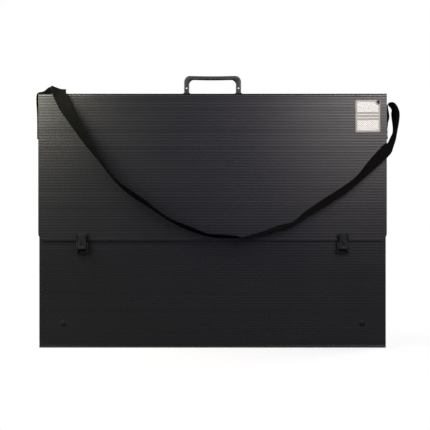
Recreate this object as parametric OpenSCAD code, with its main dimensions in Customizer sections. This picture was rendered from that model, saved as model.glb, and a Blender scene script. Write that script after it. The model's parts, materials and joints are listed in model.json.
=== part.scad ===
// Drawing portfolio case of fluted twin-wall board: a folded body, a top panel and a flap
// that turn on creases, two snap clips, a push-down handle and a webbing shoulder strap.
// Millimetres, +Z up. The origin is on the base under the middle; the front faces -Y.

/* [Case] */
// Width of the body over its side walls
case_w = 928; // [760:1:1100]
// Height from the base to the top of the top panel
case_h = 680; // [600:1:800]
// Depth from the back to the face of the flap
case_d = 44; // [42:0.5:60]
// How far the flap and the top panel stand past each side wall
flap_over = 2; // [1:0.1:2.2]
// How far the flap hangs down from the top of the case
flap_drop = 393; // [360:1:440]
// Radius of the flap's lower corners
flap_corner_r = 20; // [10:1:40]
// Distance from the top of the case down to the front panel's free edge
front_drop = 30; // [20:1:90]
// Radius of the front panel's upper corners
front_corner_r = 12; // [4:1:30]
// Air between the flap and the front panel
lid_gap = 1.6; // [1.6:0.1:3]
// Width of the tab that each side wall folds in behind the front panel
tab_w = 84; // [76:1:96]
// Distance from the front panel's free edge down to the top of the tab
tab_drop = 10; // [5:1:60]
// Clearance between pieces that lie together or pass each other
seat_gap = 0.3; // [0.2:0.05:0.4]

/* [Board] */
// Thickness of the twin-wall board
board_t = 4; // [3.6:0.1:5]
// Thickness of each skin of the board
skin_t = 0.7; // [0.4:0.05:1]
// Thickness of the ribs between the flutes
rib_t = 0.8; // [0.4:0.05:1.4]
// Distance from one rib to the next
flute_pitch = 7.5; // [6:0.1:10]
// Solid margin before the first flute of a board
flute_margin = 3.4; // [2:0.1:8]

/* [Creases] */
// Running clearance round the bead of a crease
crease_gap = 0.1; // [0.05:0.01:0.15]
// How near the outer skin comes to the middle of the bead
crease_lip = 1.2; // [1:0.05:1.6]

/* [Clips] */
// Distance of each clip's middle in from the side wall
clip_in = 116; // [103:1:140]
// Width of a clip's base and keeper
clip_w = 31.5; // [30:0.1:34]
// Width of the lever
lever_w = 21; // [19:0.1:22]
// Thickness of the lever's strip
lever_t = 2.6; // [2.2:0.1:3]
// Distance from the hinge pin down to the lever's tip
lever_l = 38; // [36:0.5:40]
// How far the lever's tip curls outwards
lever_lip = 1.2; // [0.5:0.1:2]
// Running clearance beside the lever
lever_gap = 0.4; // [0.3:0.05:0.6]
// Height of the base on the flap
clip_base_l = 22; // [20:0.5:24]
// How far the base reaches below the flap's edge
clip_base_low = 2.5; // [1:0.5:3]
// Thickness of the base behind the lever
clip_base_t = 1.2; // [1:0.1:1.4]
// Height of the chamfer on the shoulders of the base
clip_shoulder = 6; // [3:0.5:8]
// Thickness of the base beside the lever, below the ears that hold the pin
clip_skirt_t = 2.6; // [1.6:0.1:3.5]
// Height of the keeper
keeper_l = 31; // [29:0.5:34]
// Thickness of the keeper behind the lever
keeper_t = 2; // [1.5:0.1:2.4]
// Distance between the base and the keeper
keeper_gap = 1.5; // [1:0.1:2]
// Height of the bar across the foot of the keeper
keeper_bar = 3.2; // [2.5:0.1:4]
// Radius of the hinge pin
pin_r = 1.25; // [1:0.05:1.4]
// Radius of the lever's barrel round the pin
barrel_r = 3.6; // [3.2:0.1:3.8]
// Clearance round pins, posts and rivet shanks
pin_gap = 0.1; // [0.05:0.01:0.15]
// Depth over which the lever's nib and the keeper's ridge meet
catch_bite = 1; // [0.6:0.1:1.4]
// Radius of the posts that hold the clips to the board
post_r = 2; // [1.6:0.1:2.2]
// Height of the backing plates behind the bases
base_back_l = 14; // [8:0.5:16]
// Height of the backing plates behind the keepers
keeper_back_l = 26; // [16:0.5:28]
// Thickness of the backing plates behind the bases
base_back_t = 1.2; // [1:0.05:1.25]
// Thickness of the backing plates behind the keepers
keeper_back_t = 1.6; // [1.2:0.1:2]

/* [Handle] */
// Width over the handle's legs
handle_w = 154; // [140:1:170]
// Height of the grip above the top panel
handle_rise = 49.5; // [46:0.5:60]
// Width of a leg seen from the front
leg_w = 14.5; // [12:0.5:16]
// Depth of the legs from front to back
handle_t = 9; // [8:0.5:12]
// Depth of the grip from front to back
grip_t = 16; // [12:0.5:22]
// Height of the grip at its ends
grip_h = 9; // [8:0.5:12]
// How much lower the middle of the grip lies
grip_sag = 1.6; // [0:0.1:3]
// Outer radius of the grip's corners
handle_corner_r = 16; // [14:1:22]
// Inner radius of the grip's corners
handle_inner_r = 13; // [10:1:16]
// How far the handle pushes down
handle_push = 25; // [15:1:25]
// Radius of the hole at the head of each leg's slit
slit_hole_r = 2.3; // [1.8:0.1:2.8]
// Width of the slit that forks each leg
slit_w = 0.8; // [0.6:0.1:2]
// Height of the slit's hole above the top panel
slit_hole_up = 17; // [14:0.5:18]
// How far each barb stands out beside the leg
barb_out = 1.6; // [1:0.1:2.2]
// Length of the forked end below the backing plate
barb_l = 13; // [10:0.5:18]
// Clearance between a leg and its collar
leg_gap = 0.4; // [0.3:0.05:0.6]
// Wall of the collar round the leg
collar_wall = 1.2; // [1:0.1:1.6]
// How far the collar's flange reaches past its neck
collar_flange = 1.8; // [1.2:0.1:3]
// Height of the collar's flange above the top panel
collar_h = 3; // [2:0.1:4]
// Thickness of the plate under the top panel
plate_t = 2.5; // [2:0.1:4]
// Depth of the plate under the top panel
plate_d = 28; // [24:1:32]
// How far the plate reaches past the legs
plate_over = 14; // [12:1:30]

/* [Rivets] */
// Radius of the corner rivets' heads
rivet_head_r = 8; // [6:0.5:9]
// Height of a rivet's domed head
rivet_head_h = 2; // [1.5:0.1:3]
// Radius of the rivets' shanks
rivet_shank_r = 3; // [2:0.1:4]
// Distance of a corner rivet in from the side wall
rivet_in = 64; // [50:1:66]
// Height of a corner rivet above the base
rivet_up = 65; // [40:1:100]
// Thickness of the washers inside the case
washer_t = 1.5; // [1:0.1:2.5]
// Radius of the washers inside the case
washer_r = 7.5; // [6:0.5:9]

/* [Strap] */
// Width of the webbing
strap_w = 38; // [36:0.5:38]
// Thickness of the webbing
strap_t = 1.6; // [1.2:0.1:2]
// Clearance between the webbing and the flap's face
strap_gap = 0.6; // [0.4:0.1:1]
// Length of the folded hem at each end
hem_l = 42; // [36:1:60]
// Slack between the three plies of a hem
hem_slack = 0.4; // [0.2:0.1:0.6]
// Distance from the end of the hem to its rivet
hem_rivet = 21; // [16:0.5:26]
// Distance from the top of the case down to the strap's ends
strap_end_drop = 122; // [110:1:140]
// Radius of the strap rivets' heads
strap_rivet_r = 7; // [5:0.5:9]

/* [Tag] */
// Width of the hang tag
tag_w = 66; // [50:1:80]
// Height of the hang tag
tag_l = 86; // [70:1:110]
// Thickness of the hang tag
tag_t = 0.8; // [0.4:0.1:1.5]
// Corner radius of the hang tag
tag_r = 3; // [1:0.5:6]
// Distance of the tag from the flap's right edge
tag_side = 18; // [10:1:60]
// Distance of the tag from the top of the case
tag_top = 17; // [12:1:60]
// Distance of the tag's hole in from its upper right corner
tag_hole_in = 5; // [4:0.5:8]
// Radius of the tie where it goes through the tag
tie_r = 1; // [0.8:0.1:1.5]
// Radius of the tie's knot
knot_r = 2.4; // [2:0.1:3]

/* [Hidden] */
$fn = 48;
cut = 1;
half_w = case_w / 2;
lid_half = half_w + flap_over;
lid_w = 2 * lid_half;
bead_r = board_t / 2;
front_y = -case_d / 2;
back_y = case_d / 2;
lid_in_y = front_y + board_t;
panel_y = lid_in_y + lid_gap;
panel_in_y = panel_y + board_t;
back_in_y = back_y - board_t;
top_in_z = case_h - board_t;
crease_top_z = case_h - bead_r;
crease_front_y = front_y + bead_r;
crease_back_y = back_y - bead_r;
crease_panel_y = panel_y + bead_r;
front_top_z = case_h - front_drop;
flap_low_z = case_h - flap_drop;
side_top_z = top_in_z - seat_gap;
tab_top_z = front_top_z - tab_drop;
bead_seat_r = bead_r + crease_gap;

// Clips, measured outwards from the flap's face and up from the flap's edge
base_z = flap_low_z - clip_base_low;
base_top_z = base_z + clip_base_l;
clip_x = half_w - clip_in;
pin_out = clip_base_t + seat_gap + barrel_r;
pin_y = front_y - pin_out;
pin_z = base_top_z - barrel_r - 0.4;
rail_out = pin_out + pin_r + 1;
lever_face_out = pin_out + barrel_r;
lever_in_out = lever_face_out - lever_t;
lever_low_z = pin_z - lever_l;
channel_w = lever_w + 2 * lever_gap;
rail_w = (clip_w - channel_w) / 2;
pin_l = channel_w + rail_w;
keeper_top_z = base_z - keeper_gap;
keeper_z = keeper_top_z - keeper_l;
keeper_rail_out = lever_in_out + 0.6;
nib_z = lever_low_z + 4;
nib_h = 3;
ridge_h = 2.4;
ridge_z = nib_z + nib_h + seat_gap;
ridge_out = 3.4;
nib_out = ridge_out - catch_bite;
curl_up = 7;
curl_t = 2;
dimple_r = 4;
dimple_up = 10.5;
dimple_deep = 0.5;
dimple_z = lever_low_z + dimple_up;
ear_flat = 1.2;
ear_low_z = pin_z - pin_r - 3;
base_post_up = 11;
post_x = clip_w / 2 - 5.5;
base_post_z = base_z + base_post_up;
keeper_post_z = keeper_z + keeper_l / 2;
back_plate_r = 3;

// Handle
leg_x = (handle_w - leg_w) / 2;
grip_top_z = case_h + handle_rise;
outer_cx = handle_w / 2 - handle_corner_r;
outer_cz = grip_top_z - handle_corner_r;
inner_half = handle_w / 2 - leg_w;
inner_cx = inner_half - handle_inner_r;
inner_cz = grip_top_z - grip_h - handle_inner_r;
collar_slot_w = leg_w + 2 * leg_gap;
collar_slot_d = handle_t + 2 * leg_gap;
neck_w = collar_slot_w + 2 * collar_wall;
neck_d = collar_slot_d + 2 * collar_wall;
plate_z = top_in_z - plate_t;
barb_top_z = plate_z - seat_gap;
barb_low_z = barb_top_z - barb_l;
slit_z = case_h + slit_hole_up;
neck_gap = 0.1;
barb_tip = 1.5;
barb_edge = 0.7;
barb_ease = 1;
corner_steps = 7;
bar_steps = 5;
section_n = 16;

// Strap
strap_y = panel_y + strap_w / 2;
hem_x = half_w + seat_gap;
hem_t = 3 * strap_t + 2 * hem_slack;
hem_mid = hem_x + hem_t - strap_t / 2;
strap_low_z = case_h - strap_end_drop;
hem_top_z = strap_low_z + hem_l;
strap_rivet_z = strap_low_z + hem_rivet;
ring_steps = 2;

// Tag
tag_x = lid_half - tag_side - tag_w / 2;
tag_z = case_h - tag_top - tag_l / 2;
tag_hole_x = tag_x + tag_w / 2 - tag_hole_in;
tag_hole_z = tag_z + tag_l / 2 - tag_hole_in;

board_black = [0.13, 0.13, 0.135];
clip_grey = [0.2, 0.2, 0.21];
handle_grey = [0.26, 0.26, 0.28];
webbing_black = [0.08, 0.08, 0.08];
tag_beige = [0.78, 0.76, 0.7];

// Drawing plane laid out as (Y, Z) and pushed along X, centred
module along_x(width) {
    translate([-width / 2, 0, 0])
        rotate([90, 0, 90])
            linear_extrude(width)
                children();
}

// Drawing plane laid out as (X, Z) and pushed from y outwards to y - depth
module along_y(y, depth) {
    translate([0, y, 0])
        rotate([90, 0, 0])
            linear_extrude(depth)
                children();
}

module rounded_rect(w, h, r) {
    difference() {
        square([w, h], center = true);
        for (sx = [-1, 1])
            for (sy = [-1, 1])
                translate([sx * (w / 2 - r), sy * (h / 2 - r)])
                    difference() {
                        translate([sx > 0 ? 0 : -r - cut, sy > 0 ? 0 : -r - cut])
                            square(r + cut);
                        circle(r);
                    }
    }
}

// Section of a board: the first axis runs through it from its inner face to its outer one,
// the second from crease to crease. An end with a seat rolls on the bead of that crease.
module board_section(length, low_seat, high_seat) {
    low_in = low_seat ? bead_seat_r : 0;
    low_out = low_seat ? crease_lip : 0;
    high_in = length - (high_seat ? bead_seat_r : 0);
    high_out = length - (high_seat ? crease_lip : 0);
    usable = length - 2 * flute_margin;
    count = floor(usable / flute_pitch);
    first = (length - count * flute_pitch) / 2;
    difference() {
        polygon([[0, low_in], [bead_r, low_in], [bead_r, low_out], [board_t, low_out],
            [board_t, high_out], [bead_r, high_out], [bead_r, high_in], [0, high_in]]);
        for (i = [0 : count - 1])
            translate([skin_t, first + i * flute_pitch + rib_t / 2])
                square([board_t - 2 * skin_t, flute_pitch - rib_t]);
        if (low_seat)
            translate([bead_r, 0])
                circle(bead_seat_r);
        if (high_seat)
            translate([bead_r, length])
                circle(bead_seat_r);
    }
}

// What a rounded lower or upper corner leaves over, to be cut from a board of width w
module corner_waste(w, edge_z, r, up) {
    for (s = [-1, 1])
        translate([s * (w / 2 - r), back_y, edge_z - up * r])
            rotate([90, 0, 0])
                linear_extrude(case_d + 2 * cut)
                    difference() {
                        translate([s > 0 ? 0 : -r - cut, up > 0 ? 0 : -r - cut])
                            square(r + cut);
                        circle(r);
                    }
}

module hole_y(x, z, r, y, depth) {
    translate([x, y - cut, z])
        rotate([-90, 0, 0])
            cylinder(h = depth + 2 * cut, r = r);
}

// Board panels of the body
module back_panel() {
    color(board_black)
        along_x(case_w)
            translate([back_in_y, bead_r])
                board_section(case_h - board_t, true, true);
}

module bottom_panel() {
    color(board_black)
        along_x(case_w)
            translate([crease_panel_y, board_t])
                rotate(-90)
                    board_section(crease_back_y - crease_panel_y, true, true);
}

module front_panel() {
    color(board_black)
        difference() {
            along_x(case_w)
                translate([panel_in_y, bead_r])
                    mirror([1, 0])
                        board_section(front_top_z - bead_r, true, false);
            corner_waste(case_w, front_top_z, front_corner_r, 1);
            for (s = [-1, 1]) {
                hole_y(s * (half_w - rivet_in), rivet_up, rivet_shank_r + pin_gap, panel_y, board_t);
                for (p = [-1, 1])
                    hole_y(s * clip_x + p * post_x, keeper_post_z, post_r + pin_gap,
                        panel_y, board_t);
            }
        }
}

// Side wall with the tab that folds in behind the front panel; side is -1 or 1
module side_wall(side) {
    wall_h = side_top_z - board_t;
    color(board_black)
        difference() {
            translate([0, 0, board_t])
                linear_extrude(wall_h)
                    for (part = [0, 1])
                        translate([side > 0 ? half_w - (part ? tab_w : board_t) : -half_w, panel_in_y])
                            square([part ? tab_w : board_t, part ? board_t : back_in_y - panel_in_y]);
            translate([side > 0 ? half_w - tab_w - cut : -half_w + board_t, panel_in_y - cut, tab_top_z])
                cube([tab_w - board_t + cut, board_t + 2 * cut, case_h]);
            hole_y(side * (half_w - rivet_in), rivet_up, rivet_shank_r + pin_gap, panel_in_y, board_t);
            translate([side * half_w - board_t - cut, strap_y, strap_rivet_z])
                rotate([0, 90, 0])
                    cylinder(h = 2 * (board_t + cut), r = rivet_shank_r + pin_gap);
        }
}

module left_side_wall() {
    side_wall(-1);
}

module right_side_wall() {
    side_wall(1);
}

// Beads: the rolled outer skin along each crease
module crease_bead(y, z, width) {
    color(board_black)
        translate([-width / 2, y, z])
            rotate([0, 90, 0])
                cylinder(h = width, r = bead_r);
}

module bottom_back_crease() {
    crease_bead(crease_back_y, bead_r, case_w);
}

module bottom_front_crease() {
    crease_bead(crease_panel_y, bead_r, case_w);
}

module back_crease() {
    crease_bead(crease_back_y, crease_top_z, case_w);
}

module front_crease() {
    crease_bead(crease_front_y, crease_top_z, lid_w);
}

// Rivets: a domed head, a shank and, inside the case, a washer
module rivet(head_r, shank_l) {
    dome_r = (head_r * head_r + rivet_head_h * rivet_head_h) / (2 * rivet_head_h);
    rotate_extrude()
        union() {
            intersection() {
                translate([0, rivet_head_h - dome_r])
                    circle(dome_r, $fn = 96);
                square([head_r, rivet_head_h]);
            }
            translate([0, -shank_l])
                square([rivet_shank_r, shank_l + rivet_head_h / 2]);
        }
}

module washer() {
    rotate_extrude()
        translate([rivet_shank_r + pin_gap, 0])
            square([washer_r - rivet_shank_r - pin_gap, washer_t]);
}

module corner_rivet(side) {
    color(clip_grey)
        translate([side * (half_w - rivet_in), panel_y, rivet_up])
            rotate([90, 0, 0])
                rivet(rivet_head_r, 2 * board_t + washer_t);
}

module corner_washer(side) {
    color(clip_grey)
        translate([side * (half_w - rivet_in), panel_in_y + board_t, rivet_up])
            rotate([-90, 0, 0])
                washer();
}

module left_corner_rivet() {
    corner_rivet(-1);
}

module right_corner_rivet() {
    corner_rivet(1);
}

module left_corner_washer() {
    corner_washer(-1);
}

module right_corner_washer() {
    corner_washer(1);
}

// Top panel with a slot for each collar
module top_panel() {
    slot_w = neck_w + 2 * neck_gap;
    slot_d = neck_d + 2 * neck_gap;
    color(board_black)
        difference() {
            along_x(lid_w)
                translate([crease_front_y, top_in_z])
                    mirror([1, -1])
                        board_section(crease_back_y - crease_front_y, true, true);
            for (s = [-1, 1])
                translate([s * leg_x - slot_w / 2, -slot_d / 2, top_in_z - cut])
                    cube([slot_w, slot_d, board_t + 2 * cut]);
        }
}

// Flap with rounded lower corners, holes for the clip posts and one for the tag's tie
module flap() {
    color(board_black)
        difference() {
            along_x(lid_w)
                translate([lid_in_y, crease_top_z])
                    rotate(180)
                        board_section(crease_top_z - flap_low_z, true, false);
            corner_waste(lid_w, flap_low_z, flap_corner_r, -1);
            for (s = [-1, 1])
                for (p = [-1, 1])
                    hole_y(s * clip_x + p * post_x, base_post_z, post_r + pin_gap,
                        front_y, board_t);
            hole_y(tag_hole_x, tag_hole_z, tie_r + pin_gap, front_y, board_t);
        }
}

// Snap clips; side is -1 or 1
module clip_base(side) {
    shoulder_w = rail_w - ear_flat;
    color(clip_grey)
        translate([side * clip_x, 0, 0]) {
            difference() {
                intersection() {
                    along_y(front_y, rail_out)
                        polygon([[-clip_w / 2, base_z], [clip_w / 2, base_z],
                            [clip_w / 2, base_top_z - clip_shoulder],
                            [clip_w / 2 - shoulder_w, base_top_z],
                            [shoulder_w - clip_w / 2, base_top_z],
                            [-clip_w / 2, base_top_z - clip_shoulder]]);
                    along_x(clip_w)
                        polygon([[front_y, base_z], [front_y - clip_skirt_t, base_z],
                            [front_y - clip_skirt_t, ear_low_z - clip_skirt_t],
                            [front_y - rail_out, ear_low_z],
                            [front_y - rail_out, base_top_z - ear_flat],
                            [front_y - rail_out + ear_flat, base_top_z], [front_y, base_top_z]]);
                }
                translate([-channel_w / 2, front_y - rail_out - cut, base_z - cut])
                    cube([channel_w, rail_out - clip_base_t + cut, clip_base_l + 2 * cut]);
                pin_bore();
            }
            for (p = [-1, 1])
                translate([p * post_x, front_y - clip_base_t / 2, base_post_z])
                    rotate([-90, 0, 0])
                        cylinder(h = clip_base_t / 2 + board_t + base_back_t, r = post_r);
        }
}

module pin_bore() {
    translate([-pin_l / 2, pin_y, pin_z])
        rotate([0, 90, 0])
            cylinder(h = pin_l, r = pin_r + pin_gap);
}

module clip_pin(side) {
    color(clip_grey)
        translate([side * clip_x - pin_l / 2 + pin_gap, pin_y, pin_z])
            rotate([0, 90, 0])
                cylinder(h = pin_l - 2 * pin_gap, r = pin_r);
}

// Lever: a strip that hangs from its barrel, with a nib behind, a curled tip and a thumb dimple
module clip_lever(side) {
    face = front_y - lever_face_out;
    inner = front_y - lever_in_out;
    tip = face - lever_lip;
    color(clip_grey)
        translate([side * clip_x, 0, 0])
            difference() {
                along_x(lever_w)
                    union() {
                        translate([pin_y, pin_z])
                            circle(barrel_r);
                        polygon([[face, pin_z], [face, lever_low_z + curl_up], [tip, lever_low_z + curl_t],
                            [tip, lever_low_z], [inner, lever_low_z], [inner, nib_z],
                            [front_y - nib_out, nib_z + 1], [front_y - nib_out, nib_z + nib_h],
                            [inner, nib_z + nib_h], [inner, pin_z]]);
                    }
                translate([-lever_w / 2 - cut, pin_y, pin_z])
                    rotate([0, 90, 0])
                        cylinder(h = lever_w + 2 * cut, r = pin_r + pin_gap);
                translate([0, face - cut, dimple_z])
                    rotate([-90, 0, 0])
                        cylinder(h = dimple_deep + cut, r = dimple_r);
            }
}

// Keeper: a tray with two rails, a bar across its foot and the ridge that the nib drops behind
module keeper(side) {
    depth = keeper_rail_out + board_t + lid_gap;
    foot = 3;
    color(clip_grey)
        translate([side * clip_x, 0, 0]) {
            difference() {
                along_y(panel_y, depth)
                    polygon([[foot - clip_w / 2, keeper_z], [clip_w / 2 - foot, keeper_z],
                        [clip_w / 2, keeper_z + foot], [clip_w / 2, keeper_top_z - 1],
                        [clip_w / 2 - 1, keeper_top_z], [1 - clip_w / 2, keeper_top_z],
                        [-clip_w / 2, keeper_top_z - 1], [-clip_w / 2, keeper_z + foot]]);
                translate([-channel_w / 2, panel_y - depth - cut, keeper_z + keeper_bar])
                    cube([channel_w, depth - keeper_t + cut, keeper_l]);
                translate([-clip_w, panel_y - depth - cut, keeper_z - cut])
                    cube([2 * clip_w, depth / 2, keeper_bar + cut]);
            }
            translate([-lever_w / 2, front_y - ridge_out, ridge_z])
                cube([lever_w, panel_y - keeper_t - front_y + ridge_out + cut / 2, ridge_h]);
            for (p = [-1, 1])
                translate([p * post_x, panel_y - keeper_t / 2, keeper_post_z])
                    rotate([-90, 0, 0])
                        cylinder(h = keeper_t / 2 + board_t + keeper_back_t, r = post_r);
        }
}

// Backing plate with two holes, flat against the inside of a board at y
module backing_plate(side, y, thickness, z, height) {
    color(clip_grey)
        translate([side * clip_x, 0, 0])
            difference() {
                translate([0, 0, z])
                    along_y(y + thickness, thickness)
                        rounded_rect(clip_w, height, back_plate_r);
                for (p = [-1, 1])
                    hole_y(p * post_x, z, post_r + pin_gap, y, thickness);
            }
}

module left_clip_base() {
    clip_base(-1);
}

module right_clip_base() {
    clip_base(1);
}

module left_clip_pin() {
    clip_pin(-1);
}

module right_clip_pin() {
    clip_pin(1);
}

module left_clip_lever() {
    clip_lever(-1);
}

module right_clip_lever() {
    clip_lever(1);
}

module left_keeper() {
    keeper(-1);
}

module right_keeper() {
    keeper(1);
}

module left_base_plate() {
    backing_plate(-1, lid_in_y, base_back_t, base_post_z, base_back_l);
}

module right_base_plate() {
    backing_plate(1, lid_in_y, base_back_t, base_post_z, base_back_l);
}

module left_keeper_plate() {
    backing_plate(-1, panel_in_y, keeper_back_t, keeper_post_z, keeper_back_l);
}

module right_keeper_plate() {
    backing_plate(1, panel_in_y, keeper_back_t, keeper_post_z, keeper_back_l);
}

// Handle: the outer and inner outlines of half the U are paired point by point, from the foot
// of a leg round the corner to the middle of the grip, and rounded sections are lofted on them.
// The third number is how far the section has widened from the leg's depth to the grip's.
function sag(x) = grip_sag * (1 - pow(x / inner_half, 2));
function half_outline() = concat(
    [for (z = [barb_top_z, (barb_top_z + outer_cz) / 2]) [[handle_w / 2, z], [inner_half, z], 0]],
    [for (i = [0 : corner_steps])
        let (a = 90 * i / corner_steps)
        [[outer_cx + handle_corner_r * cos(a), outer_cz + handle_corner_r * sin(a)],
            [inner_cx + handle_inner_r * cos(a), inner_cz + handle_inner_r * sin(a)],
            (1 - cos(2 * a)) / 2]],
    [for (i = [1 : bar_steps])
        let (k = 1 - i / bar_steps)
        [[outer_cx * k, grip_top_z - sag(outer_cx * k)],
            [inner_cx * k, grip_top_z - grip_h - 1.6 * sag(inner_cx * k)], 1]]);
function mirrored(list) = [for (i = [len(list) - 2 : -1 : 0])
    [[-list[i][0][0], list[i][0][1]], [-list[i][1][0], list[i][1][1]], list[i][2]]];
// One rounded section: w is half the way from the inner to the outer outline
function section_ring(pair) =
    let (mid = (pair[0] + pair[1]) / 2, w = (pair[0] - pair[1]) / 2,
        deep = handle_t + (grip_t - handle_t) * pair[2])
    [for (k = [0 : section_n - 1])
        let (a = 360 * k / section_n, c = cos(a), s = sin(a),
            u = sign(c) * pow(abs(c), 0.45), v = sign(s) * pow(abs(s), 0.45))
        [mid[0] + w[0] * u, v * deep / 2, mid[1] + w[1] * u]];
// Triangles of a loft over rings of n points each, closed at both ends. The side named swap
// is split along its other diagonal, which keeps the two faces of a twisted ribbon parallel.
function side_faces(a, b, n, swapped) = swapped
    ? [[a, a + n, b], [b, a + n, b + n]] : [[a, b + n, b], [a, a + n, b + n]];
function loft_faces(rings, n, swap = -1) = concat(
    [for (i = [0 : rings - 2]) for (k = [0 : n - 1])
        each side_faces(i * n + k, i * n + (k + 1) % n, n, k == swap)],
    [for (k = [1 : n - 2]) [0, k, k + 1]],
    [for (k = [1 : n - 2]) let (o = (rings - 1) * n) [o, o + k + 1, o + k]]);

module handle() {
    half = half_outline();
    outline = concat(half, mirrored(half));
    color(handle_grey)
        difference() {
            union() {
                polyhedron(points = [for (p = outline) each section_ring(p)],
                    faces = loft_faces(len(outline), section_n));
                for (s = [-1, 1])
                    translate([s * leg_x, 0, 0])
                        leg_end();
            }
            for (s = [-1, 1]) {
                translate([s * leg_x - slit_w / 2, -handle_t, barb_low_z - cut])
                    cube([slit_w, 2 * handle_t, slit_z - barb_low_z]);
                translate([s * leg_x, handle_t, slit_z])
                    rotate([90, 0, 0])
                        cylinder(h = 2 * handle_t, r = slit_hole_r);
            }
        }
}

// Barbed end of a leg, below the backing plate
module leg_end() {
    half = leg_w / 2;
    out = half + barb_out;
    tip = half - barb_tip;
    top = barb_top_z;
    depth = handle_t - barb_ease;
    along_y(depth / 2, depth)
        polygon([[-tip, barb_low_z], [tip, barb_low_z], [out, top - barb_edge - barb_out],
            [out, top - barb_edge], [out - barb_edge, top], [half - barb_ease, top],
            [half - barb_ease, top + barb_out], [barb_ease - half, top + barb_out],
            [barb_ease - half, top], [barb_edge - out, top], [-out, top - barb_edge],
            [-out, top - barb_edge - barb_out]]);
}

module handle_collars() {
    flange_w = neck_w + 2 * collar_flange;
    flange_d = neck_d + 2 * collar_flange;
    color(clip_grey)
        for (s = [-1, 1])
            translate([s * leg_x, 0, 0])
                difference() {
                    union() {
                        translate([0, 0, case_h])
                            linear_extrude(collar_h * 0.6)
                                rounded_rect(flange_w, flange_d, 3);
                        translate([0, 0, case_h])
                            linear_extrude(collar_h)
                                rounded_rect(flange_w - 1.6, flange_d - 1.6, 2.4);
                        translate([0, 0, plate_z])
                            linear_extrude(board_t + plate_t + cut)
                                square([neck_w, neck_d], center = true);
                    }
                    translate([-collar_slot_w / 2, -collar_slot_d / 2, plate_z - cut])
                        cube([collar_slot_w, collar_slot_d, case_h]);
                }
}

module handle_plate() {
    slot_w = neck_w + 2 * neck_gap;
    slot_d = neck_d + 2 * neck_gap;
    color(clip_grey)
        translate([0, 0, plate_z])
            linear_extrude(plate_t)
                difference() {
                    rounded_rect(handle_w + 2 * plate_over, plate_d, 6);
                    for (s = [-1, 1])
                        translate([s * leg_x, 0])
                            square([slot_w, slot_d], center = true);
                }
}

// Strap. Each station is a place on the webbing's middle line and the direction across it.
// Places are measured from the nearer upper corner of the case, or from the middle.
left_x = -half_w;
right_x = half_w;
// Over the left corner of the top panel: [from the left, y, from the top, across x, y, z]
corner_stations = [
    [-5.6, strap_y, -55, 0, 1, 0], [-7.2, strap_y, -25, 0, 1, 0], [-7.4, strap_y, -11, 0, 1, 0],
    [-6, strap_y, -1.3, 0, 1, 0], [-1.6, strap_y, 2.6, 0, 1, -0.03], [13, 2.2, 5.2, 0, 0.98, -0.2],
    [29, 0.5, 11.6, 0.22, 0.9, -0.38], [42, -4.5, 14.6, 0.57, 0.79, -0.22],
    [48.6, -11.5, 16, 0.83, 0.49, -0.26], [51.4, -19.5, 16, 0.96, 0.12, -0.24],
    [53, -24.8, 12.2, 0.97, 0.02, -0.2], [54.8, -27.3, 5, 0.98, 0, -0.12]];
// Down the front from the left corner: [from the left, from the top, turn of the webbing]
// At a turn of 0 it lies flat on the flap, and at 90 it stands on edge
left_stations = [
    [57, -4, 14], [67, -28, 25], [83, -58, 45], [111, -101, 54], [139, -143, 68], [161, -174, 77],
    [205, -231, 78], [251, -269, 70], [286, -292, 72], [315, -314, 78]];
// Along the bottom of the bow: [from the middle, from the top, turn]
middle_stations = [
    [-108, -340, 78], [-65, -359, 72], [-12, -378, 77], [25, -381, 75], [62, -383, 80],
    [76, -385, 88], [97, -381, 95], [137, -371, 99]];
// Up the front to the right edge: [from the right, from the top, turn]
right_stations = [
    [-279, -355, 103], [-252, -348, 99], [-231, -334, 103], [-209, -318, 110], [-164, -289, 115],
    [-113, -257, 116], [-73, -225, 113], [-38, -189, 130], [-12, -163, 140]];
// Round the right edge in a loop and back to the side wall: [from the right, y, from the top, turn]
loop_stations = [
    [1, -37.5, -148, 136], [9.5, -40.5, -135, 112], [17, -34, -117, 103], [23, -29, -100, 98],
    [26, -22, -81, 105], [26.5, -13, -57, 115], [22.8, -5, -38, 110], [16.6, 0.5, -30, 102],
    [10, strap_y, -27.5, 94], [5.6, strap_y, -30, 90], [6, strap_y, -40, 90], [9.2, strap_y, -61, 90],
    [6, strap_y, -76, 90]];
low_clear = strap_gap + strap_t / 2;
function front_place(x, dz, turn) =
    [x, front_y - low_clear - strap_w / 2 * sin(turn), case_h + dz];
places = concat(
    [[-hem_mid, strap_y, strap_low_z], [-hem_mid, strap_y, hem_top_z - 4]],
    [for (s = corner_stations) [left_x + s[0], s[1], case_h + s[2]]],
    [for (s = left_stations) front_place(left_x + s[0], s[1], s[2])],
    [for (s = middle_stations) front_place(s[0], s[1], s[2])],
    [for (s = right_stations) front_place(right_x + s[0], s[1], s[2])],
    [for (s = loop_stations) [right_x + s[0], s[1], case_h + s[2]]],
    [[hem_mid, strap_y, hem_top_z - 4], [hem_mid, strap_y, strap_low_z]]);
turns = concat(
    [for (s = left_stations) s[2]], [for (s = middle_stations) s[2]],
    [for (s = right_stations) s[2]], [for (s = loop_stations) s[3]], [90, 90]);
last_place = len(places) - 1;
first_turn = 2 + len(corner_stations);
// Across the webbing at a turned station, from the way the line runs in the front view
function turned(i) =
    let (d = places[min(i + 1, last_place)] - places[i - 1], l = norm([d[0], d[2]]),
        t = turns[i - first_turn])
    [-d[2] / l * cos(t), -sin(t), d[0] / l * cos(t)];
across = [for (i = [0 : last_place])
    i < 2 ? [0, 1, 0] : i < first_turn
        ? [for (k = [3 : 5]) corner_stations[i - 2][k]] : turned(i)];
function spline(a, b, c, d, t) =
    b + 0.5 * t * (c - a + t * (2 * a - 5 * b + 4 * c - d + t * (3 * (b - c) + d - a)));
function on_line(list, i, t) =
    spline(list[max(i - 1, 0)], list[i], list[i + 1], list[min(i + 2, last_place)], t);
function unit(v) = v / norm(v);
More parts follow.
